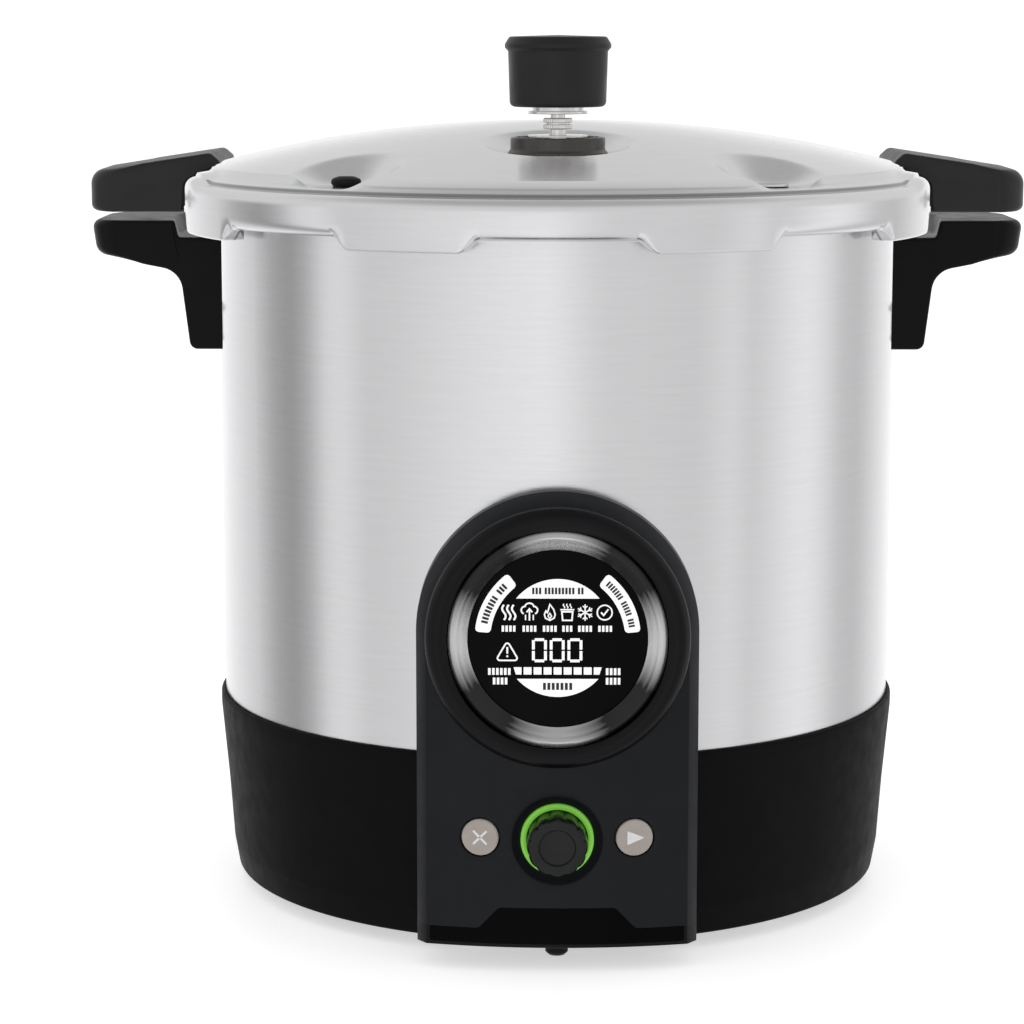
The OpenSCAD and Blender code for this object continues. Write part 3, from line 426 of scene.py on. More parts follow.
    def spun(self, amount, axis):
        """Highlights drawn out across the spinning marks round an axis."""
        tangent = self.node("ShaderNodeTangent", direction_type="RADIAL", axis=axis)
        self.shader.inputs["Anisotropic"].default_value = amount
        self.shader.inputs["Anisotropic Rotation"].default_value = 0.25
        self.links.new(tangent.outputs[0], self.shader.inputs["Tangent"])
        return self

    def set(self, **values):
        """Other inputs of the shader, with underscores for the spaces in their names."""
        for key, value in values.items():
            self.shader.inputs[key.replace("_", " ")].default_value = value
        return self


def grained(name, color, roughness, grain_mm=0.02, tint=0.1, shine=0.2):
    """Moulded plastic or rubber with a fine grain."""
    made = Material(name, color, roughness).set(Specular_IOR_Level=shine)
    made.tint(made.noise(60), tint)
    made.gloss(made.noise(140), 0.05)
    made.bump(made.noise(1400, detail=2.0), grain_mm)
    return made


def smooth_gloss(name, color, roughness, shine=0.5):
    """Glossy plastic with faint waviness."""
    made = Material(name, color, roughness).set(Specular_IOR_Level=shine)
    made.tint(made.noise(90), 0.08)
    made.gloss(made.noise(220), roughness * 0.4)
    made.bump(made.noise(70, detail=1.0), 0.004)
    return made


# Painted shade: a dark line painted into the aluminium along the crease between the cover's skirt and its
# shoulder, which stops at the handle seats
CREASE_R = POT_R + 8.9
CREASE_HALF = 0.6
CREASE_BELOW = RIM_Z + 12.3
CREASE_SHADE_COLOR = (0.2, 0.2, 0.205)


def brushed(name, color, roughness):
    """Sheet metal brushed round the pot's axis."""
    made = Material(name, color, roughness, metallic=1.0)
    place = made.round_place()
    streaks = made.noise(2600, (1, 1, 0.3), detail=3.0, place=place)
    made.tint(made.noise(600, (1, 1, 0.4), detail=5.0, place=place), 0.014)
    # Painted shade: the dark line along the cover's crease
    made.line_round(place, CREASE_R, CREASE_HALF, CREASE_BELOW, CREASE_SHADE_COLOR)
    made.gloss(streaks, 0.04)
    made.bump(streaks, 0.006)
    made.spun(0.7, "Z")
    return made


def plain_metal(name, color, roughness):
    """Machined or plated metal with faint marks."""
    made = Material(name, color, roughness, metallic=1.0)
    made.tint(made.noise(120), 0.05)
    made.gloss(made.noise(700, (1, 1, 0.2)), roughness * 0.35)
    made.bump(made.noise(900, (0.3, 0.3, 1)), 0.003)
    return made


def printed(name, color, glow):
    """A lit or printed mark on the display."""
    made = Material(name, color, 0.5)
    made.tint(made.noise(400), 0.04)
    made.gloss(made.noise(500), 0.05)
    made.set(Emission_Color=(*color, 1.0), Emission_Strength=glow)
    return made


# Count of painted reflection sweeps round the bezel
BEZEL_REFLECTION_SWEEPS = 4


def spun_bezel(name):
    """Bright metal ring with spinning marks round the display's axis, with light and dark sweeps of painted
    reflection in its base colour.
    """
    made = Material(name, (0.36, 0.36, 0.36), 0.2, metallic=1.0)
    place, turn = made.front_place(DISPLAY_Z)
    marks = made.noise(3000, place=place)
    # Painted reflection: light and dark lobes round the display's axis, laid into the base colour
    reflection_lobes = made.math("COSINE", made.math("MULTIPLY", turn, BEZEL_REFLECTION_SWEEPS))
    grain = made.math("MULTIPLY", made.math("SUBTRACT", made.noise(500, place=place), 0.5), 0.3)
    share = made.math("ADD", made.math("MULTIPLY", reflection_lobes, 0.28), made.math("ADD", grain, 0.43))
    made.tint(share, 0.9)
    made.gloss(marks, 0.05)
    made.bump(marks, 0.003)
    made.spun(0.75, "Y")
    return made


SLOT_MATERIALS = {
    "aluminium_sheet": brushed("aluminium_sheet", (0.80, 0.80, 0.81), 0.22),
    "aluminium_cast": plain_metal("aluminium_cast", (0.55, 0.55, 0.56), 0.5),
    "steel": plain_metal("steel", (0.55, 0.55, 0.55), 0.35),
    "plated_metal": plain_metal("plated_metal", (0.72, 0.71, 0.70), 0.16),
    "dark_metal": plain_metal("dark_metal", (0.085, 0.08, 0.075), 0.34),
    "brass": plain_metal("brass", (0.75, 0.56, 0.25), 0.3),
    "light_plastic": grained("light_plastic", (0.72, 0.70, 0.64), 0.45),
    "board": smooth_gloss("board", (0.02, 0.16, 0.06), 0.35),
    "black_plastic": grained("black_plastic", (0.0040, 0.0040, 0.0045), 0.5, shine=0.05),
    "panel_plastic": grained(
        "panel_plastic", (0.0058, 0.0064, 0.0086), 0.40, grain_mm=0.012, shine=0.18
    ).foot(TRIM_SIDE, (0.0006, 0.0006, 0.0007)),
    "ring_plastic": grained("ring_plastic", (0.0024, 0.0026, 0.0034), 0.3, grain_mm=0.008, shine=0.16),
    "gloss_black": smooth_gloss("gloss_black", (0.0012, 0.0012, 0.0014), 0.08, shine=0.04),
    "bezel_metal": spun_bezel("bezel_metal"),
    "lens": smooth_gloss("lens", (0.0012, 0.0012, 0.0012), 0.12, shine=0.06),
    "green_light": smooth_gloss("green_light", (0.14, 0.43, 0.04), 0.3).set(
        Emission_Color=(0.19, 0.5, 0.06, 1.0), Emission_Strength=0.4
    ),
    "dial_plastic": smooth_gloss("dial_plastic", (0.004, 0.0044, 0.0046), 0.26, shine=0.3),
    "key_plastic": smooth_gloss("key_plastic", (0.34, 0.30, 0.275), 0.3),
    # Lit copy of the handle plastic, painted lighter than the body handles' shaded copy below
    "handle_plastic": grained("handle_plastic", (0.0125, 0.0120, 0.0125), 0.40, shine=0.26),
    "black_rubber": grained("black_rubber", (0.006, 0.006, 0.006), 0.6, grain_mm=0.015, shine=0.2),
    "wire_rubber": grained("wire_rubber", (0.3, 0.02, 0.02), 0.5, grain_mm=0.01),
}
SLOT_BLOCKS = {slot: made.block for slot, made in SLOT_MATERIALS.items()}
# Painted shade: the body handles get a darker copy of the handle plastic for the shadow under the cover
# handles
BODY_HANDLE_SHADED = grained("body_handle_painted_shade", (0.0032, 0.0032, 0.0037), 0.36, shine=0.1).block
PRINT_WHITE = printed("print_white", (0.80, 0.80, 0.80), 0.35).block
# Painted light: the keys' grey marks glow faintly, though no lamp lights them
PRINT_GREY_GLOW = printed("print_grey_glow", (0.66, 0.65, 0.65), 0.05).block
PRINT_DARK = printed("print_dark", (0.01, 0.01, 0.01), 0.0).block


def look(node):
    """The material of a CAD node's slot."""
    return SLOT_BLOCKS[NODE_SLOT[node]]


for node, cad in frame["nodes"].items():
    cad.data.materials.clear()
    cad.data.materials.append(look(node))


# ---- Pot ----

LUG_COUNT = 8
LUG_PITCH = 360 / LUG_COUNT
LUG_HALF = 9.5
LUG_BLUR = 1.2
HOOK_HALF = 10
COARSE_STEP = 1.5
FINE_STEP = 0.25


def inside_lug(angle, half, blur):
    """1 inside a lug or hook, 0 between them, with a soft step of blur degrees."""
    off = abs(math.degrees(angle) % LUG_PITCH - LUG_PITCH / 2)
    return 1 - smoothstep((off - half + blur / 2) / blur)


def lug_angles(half, blur, fine_half=0):
    """Angles round the pot, closer together at the ends of the lugs and in a stretch at the front."""
    steps = {round(i * COARSE_STEP, 3) for i in range(int(360 / COARSE_STEP))}
    for lug in range(LUG_COUNT):
        for side in (-1, 1):
            middle = (lug + 0.5) * LUG_PITCH + side * half
            steps |= {round((middle + blur * t / 12) % 360, 3) for t in range(-7, 8)}
    count = int(2 * fine_half / FINE_STEP)
    steps |= {round((i * FINE_STEP - fine_half) % 360, 3) for i in range(count)}
    return [math.radians(a) for a in sorted(steps)]


def pot_profile(angle):
    """Closed outline of the drawn pot with its rolled rim, which carries the locking lugs."""
    lug = inside_lug(angle, LUG_HALF, LUG_BLUR)
    bead = POT_R + 3 + 5.5 * lug
    return rounded([
        (0, POT_FLOOR_Z), (POT_R, POT_FLOOR_Z, 9), (POT_R, RIM_Z - 6.5, 1), (bead, RIM_Z - 5, 0.8),
        (bead, RIM_Z - 2.2, 0.8), (POT_R + 2, RIM_Z - 1.4, 0.4), (POT_R + 1, RIM_Z, 0.6),
        (POT_IN, RIM_Z, 0.8), (POT_IN, POT_FLOOR_Z + 4, 7), (0, POT_FLOOR_Z + 4),
    ])


def build_pot():
    """The drawn pot, whose rim carries the lugs."""
    add_piece("pot_shell", *turned(pot_profile, lug_angles(LUG_HALF, LUG_BLUR), around_z), "pot")


# ---- Cover ----

DOME_R = 153
DOME_EDGE_Z = DOME_TOP - 19.7
DOME_POWER = 2.19
DOME_END_R = POT_R + 3.6
SHEET = 3
SKIRT_TOP = RIM_Z + 10.2
SKIRT_CORNER = 5
LIP_R = 5.2
LIP_Z = RIM_Z - 6 + LIP_R
HOOK_LOW = RIM_Z - 10.8
HOOK_BLUR = 3.2
SEAT_TOP = RIM_Z + 13.4
SEAT_SLOPE = 0.175
SEAT_FULL = 16
SEAT_END = 22
HOOK_IN = POT_R + 4.2
DIMPLE_Z = RIM_Z + 12
DIMPLE_AT = POT_R - 4
DIMPLE_ANGLE = math.radians(37.5)
DIMPLE_FLAT_R = 8.4
DIMPLE_CURVE = 0.045
DIMPLE_BLEND = 5.0
VENT_FLAT_Z = box_mm("vent_collar")[0].z - 0.1
VENT_FLAT_R = 21
VENT_CURVE = 0.052
VENT_BLEND = 2.0


def dome_z(radius):
    """Height of the dome's outer skin."""
    return DOME_EDGE_Z + (DOME_TOP - DOME_EDGE_Z) * (1 - (radius / DOME_R) ** DOME_POWER)


def pressed(radius, height, angle, drop=0.0):
    """Height of the cover's sheet after the two fitting dimples and the vent's flat are pressed in."""
    x, y, _ = around_z(radius, 0, angle)
    for side in (-1, 1):
        cx, cy, _ = around_z(DIMPLE_AT, 0, side * DIMPLE_ANGLE)
        rise = max(math.hypot(x - cx, y - cy) - drop - DIMPLE_FLAT_R, 0)
        height = soft_min(height, DIMPLE_Z - drop + DIMPLE_CURVE * rise ** 2, DIMPLE_BLEND)
    rise = max(math.hypot(x, y - VENT_Y) - drop - VENT_FLAT_R, 0)
    return soft_min(height, VENT_FLAT_Z - drop + VENT_CURVE * rise ** 2, VENT_BLEND)


def cover_radii():
    """Stations from the rim's crease to the dome's top, closer where the sheet is pressed."""
    radii = [DOME_END_R - 0.5 * i for i in range(60)]
    radii += [radii[-1] - 1.1 * i for i in range(1, 60)]
    left = radii[-1]
    return radii + [left * (1 - i / 8) for i in range(1, 9)]


COVER_RADII = cover_radii()


def seat_share(angle):
    """1 where a handle sits on the cover, 0 away from it."""
    off = abs(math.degrees(angle) % 180 - 90)
    return 1 - smoothstep((off - SEAT_FULL) / (SEAT_END - SEAT_FULL))


def seat_z(radius):
    """Height of the shoulder that is raised under a handle, before its outer corner."""
    return SEAT_TOP + SEAT_SLOPE * (SKIRT_R - radius)


def cover_profile(angle):
    """Closed outline of the cover: outer skin from hook to top, then back along the inner skin."""
    hook = inside_lug(angle, HOOK_HALF, HOOK_BLUR)
    seat = seat_share(angle)

    def mix(lip, edge):
        return [(a + (c - a) * hook, b + (d - b) * hook) for (a, b), (c, d) in zip(lip, edge)]

    inner_r = SKIRT_R - SHEET
    roll_out = arc(SKIRT_R - LIP_R, LIP_Z, LIP_R, 0, -90, 8)
    hook_out = rounded([(SKIRT_R, LIP_Z), (SKIRT_R, HOOK_LOW, 1.4), (HOOK_IN, HOOK_LOW)], closed=False)
    roll_in = arc(SKIRT_R - LIP_R, LIP_Z, LIP_R - SHEET, -90, 0, 8)
    hook_in = rounded([
        (HOOK_IN, HOOK_LOW + 3.2), (inner_r, HOOK_LOW + 3.4, 1.0), (inner_r, LIP_Z)
    ], closed=False)
    corner_z = SKIRT_TOP - SKIRT_CORNER + seat * (SEAT_TOP - SKIRT_TOP - 0.6)
    outer = arc(SKIRT_R - SKIRT_CORNER, corner_z, SKIRT_CORNER, 0, 84, 8)
    crease = rounded([
        outer[-1], (POT_R + 9.4, SKIRT_TOP + 0.1, 0.6), (POT_R + 8.4, SKIRT_TOP + 1.6, 0.5),
        (POT_R + 6.2, SKIRT_TOP + 2.9, 0.5), (POT_R + 5.0, SKIRT_TOP + 3.4, 1.2),
        (DOME_END_R + 0.2, dome_z(DOME_END_R) - 0.6)
    ], steps=3, closed=False)[1:]
    crease = [(r, pressed(r, z, angle) if r < POT_R + 8 else z) for r, z in crease]
    crease = [(r, z + seat * max(seat_z(r) - z, 0)) for r, z in crease]
    skin = [(r, pressed(r, dome_z(r), angle)) for r in COVER_RADII]
    under = [(r, pressed(r, dome_z(r) - SHEET, angle, SHEET)) for r in COVER_RADII[::-3]]
    inside = rounded([
        (POT_R + 3.2, RIM_Z + 9.4), (POT_R + 5, RIM_Z + 8, 0.5), (inner_r - 1.6, RIM_Z + 7.7, 0.5),
        (inner_r, RIM_Z + 6.4)
    ], steps=2, closed=False)
    edge = mix(roll_in, hook_in)[::-1] + mix(roll_out, hook_out)[::-1]
    return edge + outer + crease + skin + under + inside


def build_cover():
    angles = lug_angles(HOOK_HALF, HOOK_BLUR, fine_half=50)
    add_piece("cover_shell", *turned(cover_profile, angles, around_z), "cover", sharp=40)


# ---- Base ----


def build_base():
    """Black housing under the pot, with its waist and rounded top edge."""
    outline = rounded([
        (BASE_R - 10.2, BASE_LOW), (BASE_R - 7, BASE_LOW, 1.5), (BASE_R - 4.9, BASE_LOW + 12, 12),
        (BASE_R - 3, 45, 60), (BASE_R, 78, 25), (BASE_R, BASE_TOP, 1.6), (POT_R + 0.4, BASE_TOP, 0.3),
        (POT_R + 0.4, BASE_TOP - 2.6), (BASE_R - 2.6, 77), (BASE_R - 5.6, 45),
        (BASE_R - 7.6, BASE_LOW + 12), (BASE_R - 10.2, BASE_LOW + 4)
    ], steps=8)
    lathe("base_shell", outline, "base_housing", steps=256)


# ---- Control panel ----

BOW_R = 220
BOW_Y = 59
BEVEL_IN = 3.9
BEVEL_DEEP = 5.5
FACE_WALL = 2.5
SHELL_WALL = 2.4
SIDE_STEPS = 48
ARCH_STEPS = 72
FOOT_STEPS = 24
FACE_SPACING = 3.2
EDGE_SOFT = 0.35
SEAM = -box_mm("panel_housing")[0].y


def bow_depth(x, inset=0.0):
    """Distance of the panel's bowed front from the pot's axis plane."""
    return math.sqrt((BOW_R - inset) ** 2 - x * x) - BOW_Y


BEVEL_FRONT = bow_depth(PANEL_HALF - BEVEL_IN)


def panel_outline(inset=0):
    """Arch on a straight-sided foot, moved inwards."""
    half = PANEL_HALF - inset
    low = PANEL_LOW + inset
    side = [low + (ARCH_Z - low) * i / SIDE_STEPS for i in range(SIDE_STEPS)]
    points = [(half, z) for z in side] + arc(0, ARCH_Z, half, 0, 180, ARCH_STEPS)
    points += [(-half, z) for z in reversed(side)]
    return points + [(half * (2 * i / FOOT_STEPS - 1), low) for i in range(1, FOOT_STEPS)]


def bevel_inset(share):
    """How far the bevel reaches in at a direction of the arch, where it meets the bowed front."""
    inset = BEVEL_IN
    for _ in range(12):
        x = (PANEL_HALF - inset) * share
        inset = BEVEL_IN + (bow_depth(x) - BEVEL_FRONT) * BEVEL_IN / BEVEL_DEEP
    return inset


def bevel_outline(grow=0.0):
    """Inner edge of the bevel, moved inwards by grow."""
    points = []
    for x, z in panel_outline():
        if z >= ARCH_Z:
            share = x / PANEL_HALF
            half = PANEL_HALF - bevel_inset(abs(share)) - grow
            points.append((half * share, ARCH_Z + (z - ARCH_Z) / PANEL_HALF * half))
        else:
            half = PANEL_HALF - BEVEL_IN - grow
            points.append((x / PANEL_HALF * half, max(z, PANEL_LOW + grow)))
    return points


def circle(x, z, radius, steps):
    """Points round a circle."""
    return arc(x, z, radius, 0, 360 - 360 / steps, steps - 1)


def face_triangles(outer, holes):
    """Triangles between an outer loop and round holes, with points spread over the middle."""
    loops = [outer] + [circle(x, z, r, n) for x, z, r, n in holes]
    points, edges = [], []
    for loop in loops:
        start = len(points)
        points += [Vector(p) for p in loop]
        edges += [(start + i, start + (i + 1) % len(loop)) for i in range(len(loop))]
    for row in range(int((ARCH_Z + PANEL_HALF) / FACE_SPACING) + 1):
        z = PANEL_LOW + row * FACE_SPACING
        for column in range(-20, 21):
            x = (column + 0.5 * (row % 2)) * FACE_SPACING
            room = PANEL_HALF - 11 - math.hypot(x, max(z - ARCH_Z, 0))
            clear = all(math.hypot(x - hx, z - hz) > r + 1.4 for hx, hz, r, _ in holes)
            if room > 0 and z > PANEL_LOW + 2 and clear:
                points.append(Vector((x, z)))
    flat, _, faces, _, _, _ = delaunay_2d_cdt(points, edges, [], 0, 1e-5)

    def solid(face):
        x = sum(flat[i].x for i in face) / len(face)
        z = sum(flat[i].y for i in face) / len(face)
        return all(math.hypot(x - hx, z - hz) > r * 0.98 for hx, hz, r, _ in holes)

    return [(p.x, p.y) for p in flat], [tuple(f) for f in faces if solid(f)]


def build_fascia():
    """Bowed front plate with its bevelled edge, the display's hole, the dial's dish and the keys' wells."""
    display = (0, DISPLAY_Z, 45, 120)
    dial = (0, DIAL_Z, 18.3, 96)
    buttons = [(side * BUTTON_X, BUTTON_Z, BUTTON_R + 1.0, 64) for side in (-1, 1)]
    rim = bevel_outline(EDGE_SOFT)
    flat, faces = face_triangles(rim, [display, dial] + buttons)
    build = Builder()
    for wall in (0, FACE_WALL):
        build.add([(x, -bow_depth(x, wall), z) for x, z in flat], faces)

    def level(loop, depth):
        """The loop at one distance from the axis plane."""
        return [(x, -depth, z) for x, z in loop]

    def sunk(loop, amount):
        """The loop a little behind the bowed front."""
        return [(x, amount - bow_depth(x), z) for x, z in loop]

    outer = panel_outline()
    near_edge = [(x * 0.9975, z) for x, z in outer]
    side_front = BEVEL_FRONT - BEVEL_DEEP
    build.loops([
        sunk(rim, FACE_WALL), level(panel_outline(SHELL_WALL), SEAM + 0.05), level(outer, SEAM + 0.05),
        level(outer, side_front - 0.4), level(near_edge, side_front + 0.3),
        sunk(bevel_outline(-0.15), 0.28), sunk(bevel_outline(0.1), 0.05), sunk(rim, 0),
    ])

    def well(x, z, r, steps, profile):
        """A round well, from its mouth down to the back of the plate."""
        stations = profile + [(r, FACE_WALL)]
        build.loops([sunk(circle(x, z, radius, steps), deep) for radius, deep in stations])

    well(*display, [(display[2], 0)])
    r = dial[2]
    well(*dial, [(r, 0), (r - 0.3, 0.06), (r - 0.7, 0.3), (14.9, 2.3), (14.6, 2.4), (14.55, 4.0)])
    for button in buttons:
        r = button[2]
        well(*button, [(r, 0), (r - 0.25, 0.06), (r - 0.42, 0.22), (r - 0.5, 0.5), (r - 0.5, FACE_WALL)])
    add_piece("panel_face", build.points, build.faces, "front_fascia", sharp=50)


def build_panel_shell():
    """The panel's deep side wall, from the seam back to the pot and the base."""
    def seat(loop):
        """The loop laid against the pot or, low down, the base."""
        radii = [(BASE_R if z < BASE_TOP + 0.2 else POT_R) + 0.4 for _, z in loop]
        return [(x, -math.sqrt(r ** 2 - x * x), z) for r, (x, z) in zip(radii, loop)]

    outer = panel_outline()
    inner = panel_outline(SHELL_WALL)
    seam = [[(x, -SEAM, z) for x, z in loop] for loop in (outer, inner)]
    build = Builder()
    build.loops([seat(inner), seat(outer)] + seam + [seat(inner)])
    add_piece("panel_shell", build.points, build.faces, "panel_housing")


def build_trim():
    """Glossy foot trim that stands a hair proud of the bowed front."""
    low = PANEL_LOW + 1.5
    top = PANEL_LOW + 16.2
    half = PANEL_HALF - 5.1
    outline = dense_outline(rounded([
        (-half, low, 0.8), (half, low, 0.8), (half, TRIM_SIDE, 0.5), (31, TRIM_SIDE, 3),
        (23, top, 3), (-23, top, 3), (-31, TRIM_SIDE, 3), (-half, TRIM_SIDE, 0.5)
    ]), 2, int)
    inner = inset_outline(outline, 0.35)

    def proud(loop, amount):
        """The loop a little before the bowed front."""
        return [(x, -bow_depth(x) - amount, z) for x, z in loop]

    build = Builder()
    build.loops([
        proud(outline, -1.0), proud(outline, 0.05), proud(inset_outline(outline, 0.12), 0.17),
        proud(inner, 0.22)
    ])
    edges = [(i, (i + 1) % len(inner)) for i in range(len(inner))]
    flat, _, faces, _, _, _ = delaunay_2d_cdt([Vector(p) for p in inner], edges, [], 1, 1e-5)
    for amount in (0.22, -1.0):
        build.add(proud(flat, amount), [tuple(f) for f in faces])
    add_piece("foot_trim", build.points, build.faces, "bottom_trim")


def build_display():
    """Matte ring, spun bezel and glass. Depths are measured from the front of the glass."""
    g = GLASS_FRONT
    front_lathe("display_surround", rounded([
        (43.2, g - 6.1), (RING_R - 0.6, g - 6.1), (RING_R - 0.6, g - 3.6), (RING_R, g - 3.6),
        (RING_R, g + 1.4, 4.4), (47.8, g + 7.2, 4.4), (43.2, g + 3.8, 1.0)
    ], steps=12), "display_ring", DISPLAY_Z, steps=192)
    front_lathe("bezel_cone", rounded([
        (LENS_R, g - 1.4), (42.4, g + 1.7), (42.95, g + 2), (42.95, g + 3.2, 0.25), (40.6, g + 4.9, 0.25),
        (40.1, g + 4.7, 0.2), (LENS_R + 0.2, g + 0.35, 0.25)
    ], steps=4), "bezel_ring", DISPLAY_Z, steps=256, sharp=12)
    front_lathe("display_glass", rounded([
        (0, g - 4), (40.4, g - 4), (40.4, g - 2), (LENS_R + 0.1, g - 2), (LENS_R + 0.1, g, 0.3), (0, g)
    ], steps=3), "display_lens", DISPLAY_Z)


# ---- Marks on the display ----

MARK_THICK = 0.06


def stroke(points, width, closed=False):
    """Outline of a line of some width, with mitred corners."""
    left, right = [], []
    count = len(points)
    for i, (x, y) in enumerate(points):
        before = points[i - 1] if closed or i else points[0]
        after = points[(i + 1) % count] if closed or i < count - 1 else points[-1]
        u = Vector((x - before[0], y - before[1]))
        v = Vector((after[0] - x, after[1] - y))
        u = u.normalized() if u.length else v.normalized()
        v = v.normalized() if v.length else u
        normal = Vector((-(u + v).y, (u + v).x)).normalized()
        reach = width / 2 / max(normal.dot(Vector((-u.y, u.x))), 0.5)
        left.append((x + normal.x * reach, y + normal.y * reach))
        right.append((x - normal.x * reach, y - normal.y * reach))
    strip = list(zip(left, right))
    pairs = range(count) if closed else range(count - 1)
    return [[strip[i][0], strip[(i + 1) % count][0], strip[(i + 1) % count][1], strip[i][1]] for i in pairs]


class Marks:
    """Flat marks laid on the display's glass, placed from its middle: u to the right, v up."""

    def __init__(self):
        self.build = Builder()

    def polygon(self, outline, lift=0.0):
        """A filled mark."""
        levels = (GLASS_FRONT + lift - 0.01, GLASS_FRONT + lift + MARK_THICK)
        self.build.plate([[(u, -depth, DISPLAY_Z + v) for u, v in outline] for depth in levels])

    def line(self, points, width=0.55, closed=False):
        """A drawn line, as one quad for each stretch."""
        for quad in stroke(points, width, closed):
            self.polygon(quad)

    def finish(self, name, material):
        """The marks become one piece on the display's glass."""
        add_mesh(name, self.build.points, self.build.faces, "display_lens", material, weld=False)


def cap_badge(chord, top, half):
    """Badge cut off a circle by a chord."""
    centre = (top ** 2 - chord ** 2 - half ** 2) / (2 * (top - chord))
    radius = abs(top - centre)
    spread = math.degrees(math.asin(half / radius))
    middle = 90 if top > 0 else -90
    return arc(0, centre, radius, middle - spread, middle + spread, 24)


def curved_badge(start, end):
    """Badge bent round the display, with rounded corners."""
    inner, outer, round_r = 26.2, 32.3, 1.3
    turn_in = math.degrees(round_r / inner)
    turn_out = math.degrees(round_r / outer)
    out_edge = arc(0, 0, outer, start + turn_out, end - turn_out, 16)
    in_edge = arc(0, 0, inner, end - turn_in, start + turn_in, 16)
    soft_end = arc(0, 0, outer - round_r * 0.3, end - turn_out * 0.35, end - turn_out * 0.3, 1)
    side_end = [arc(0, 0, r, end, end, 1)[0] for r in (outer - round_r, inner + round_r)]
    low_end = arc(0, 0, inner + round_r * 0.3, end - turn_in * 0.3, end - turn_in * 0.35, 1)
    low_start = arc(0, 0, inner + round_r * 0.3, start + turn_in * 0.35, start + turn_in * 0.3, 1)
    side_start = [arc(0, 0, r, start, start, 1)[0] for r in (inner + round_r, outer - round_r)]
    soft_start = arc(0, 0, outer - round_r * 0.3, start + turn_out * 0.3, start + turn_out * 0.35, 1)
    return out_edge + soft_end + side_end + low_end + in_edge + low_start + side_start + soft_start


def wave(u, v, height, swing=0.7):
    """A rising line of steam."""
    return [(u + swing * math.sin(2 * math.pi * t / 12), v + height * (t / 12 - 0.5)) for t in range(13)]


def draw_icons(marks):
    """Row of stage icons: warm, vent, heat, can, cool and done."""
    v = 10.4
    for du in (-1.9, 0, 1.9):
        marks.line(wave(-19 + du, v, 6), 0.75)
    cloud = arc(-12.7, v + 0.9, 1.5, 250, 90, 6) + arc(-11, v + 1.8, 1.9, 150, 30, 6)
    cloud += arc(-9.3, v + 0.9, 1.5, 90, -70, 6)
    marks.line(cloud, 0.6)
    marks.line([(-11, v - 3.2), (-11, v + 1.2)], 0.6)
    marks.line([(-12.1, v + 0.1), (-11, v + 1.4), (-9.9, v + 0.1)], 0.6)
    for side in (-1, 1):
        marks.line([(-11 + side * 1.5, v - 3.0), (-11 + side * 1.5, v - 0.9)], 0.5)
    flame = [
        (-3.1, 3.2), (-1.6, 1.2), (-1.0, -0.8), (-1.4, -2.2), (-3.1, -3.1), (-4.8, -2.2), (-5.2, -0.8),
        (-4.6, 0.6), (-4.0, -0.1), (-3.5, 1.6)
    ]
    core = [(-3.1, -0.3), (-2.4, -1.4), (-3.1, -2.4), (-3.8, -1.4)]
    for outline, width in ((flame, 0.55), (core, 0.45)):
        marks.line([(u, v + dv) for u, dv in outline], width, closed=True)
    marks.line([(1.6, v + 0.3), (1.9, v - 3.1), (5.5, v - 3.1), (5.8, v + 0.3)], 0.6, closed=True)
    marks.line([(1.0, v + 1.1), (6.4, v + 1.1)], 0.55)
    for u in (2.4, 3.7, 5.0):
        marks.line(wave(u, v + 2.5, 1.8, 0.3), 0.4)
    for k in range(6):
        a = math.radians(90 + 60 * k)
        along = lambda reach, off: (
            10.6 + reach * math.cos(a) - off * math.sin(a), v + reach * math.sin(a) + off * math.cos(a)
        )
        marks.line([along(0, 0), along(3.2, 0)], 0.5)
        for off in (-0.9, 0.9):
            marks.line([along(1.7, 0), along(2.6, off)], 0.42)
    marks.line(arc(18.2, v, 2.9, 0, 345, 23), 0.55, closed=True)
    marks.line([(16.8, v + 0.1), (17.8, v - 1.1), (19.6, v + 1.3)], 0.6)


def draw_digit(marks, u, top, bottom, width):
    """Seven-segment zero: the segments stop short of each other at the corners and in the middle."""
    segment = 1.1
    half = (width - segment) / 2
    middle = (top + bottom) / 2
    for level in (top - segment / 2, bottom + segment / 2):
        marks.line([(u - half + 0.5, level), (u + half - 0.5, level)], segment)
    for side in (u - half, u + half):
        marks.line([(side, top - 0.75), (side, middle + 0.3)], segment)
        marks.line([(side, middle - 0.3), (side, bottom + 0.75)], segment)


def blocks(marks, centre, groups, size, turn=0.0, lift=0.0):
    """Row of plain upright blocks in the place of a line of words. Groups are the words' lengths."""
    width, height = size
    gap = width * 0.55
    total = sum(groups) * (width + gap) + (len(groups) - 1) * width - gap
    u = -total / 2
    c, s = math.cos(turn), math.sin(turn)
    for group in groups:
        for _ in range(group):
            box = [(u, -height / 2), (u + width, -height / 2), (u + width, height / 2), (u, height / 2)]
            marks.polygon([(centre[0] + a * c - b * s, centre[1] + a * s + b * c) for a, b in box], lift)
            u += width + gap
        u += width


def curved_blocks(marks, radius, middle, groups, size, lift):
    """A row of blocks bent round the display's middle, one block after the other."""
    pitch = math.degrees(size[0] * 1.55 / radius)
    slots = []
    for group in groups:
        slots += [True] * group + [False]
    for i, filled in enumerate(slots[:-1]):
        if filled:
            a = math.radians(middle - (i - (len(slots) - 2) / 2) * pitch)
            blocks(marks, (radius * math.cos(a), radius * math.sin(a)), (1,), size, a - math.pi / 2, lift)


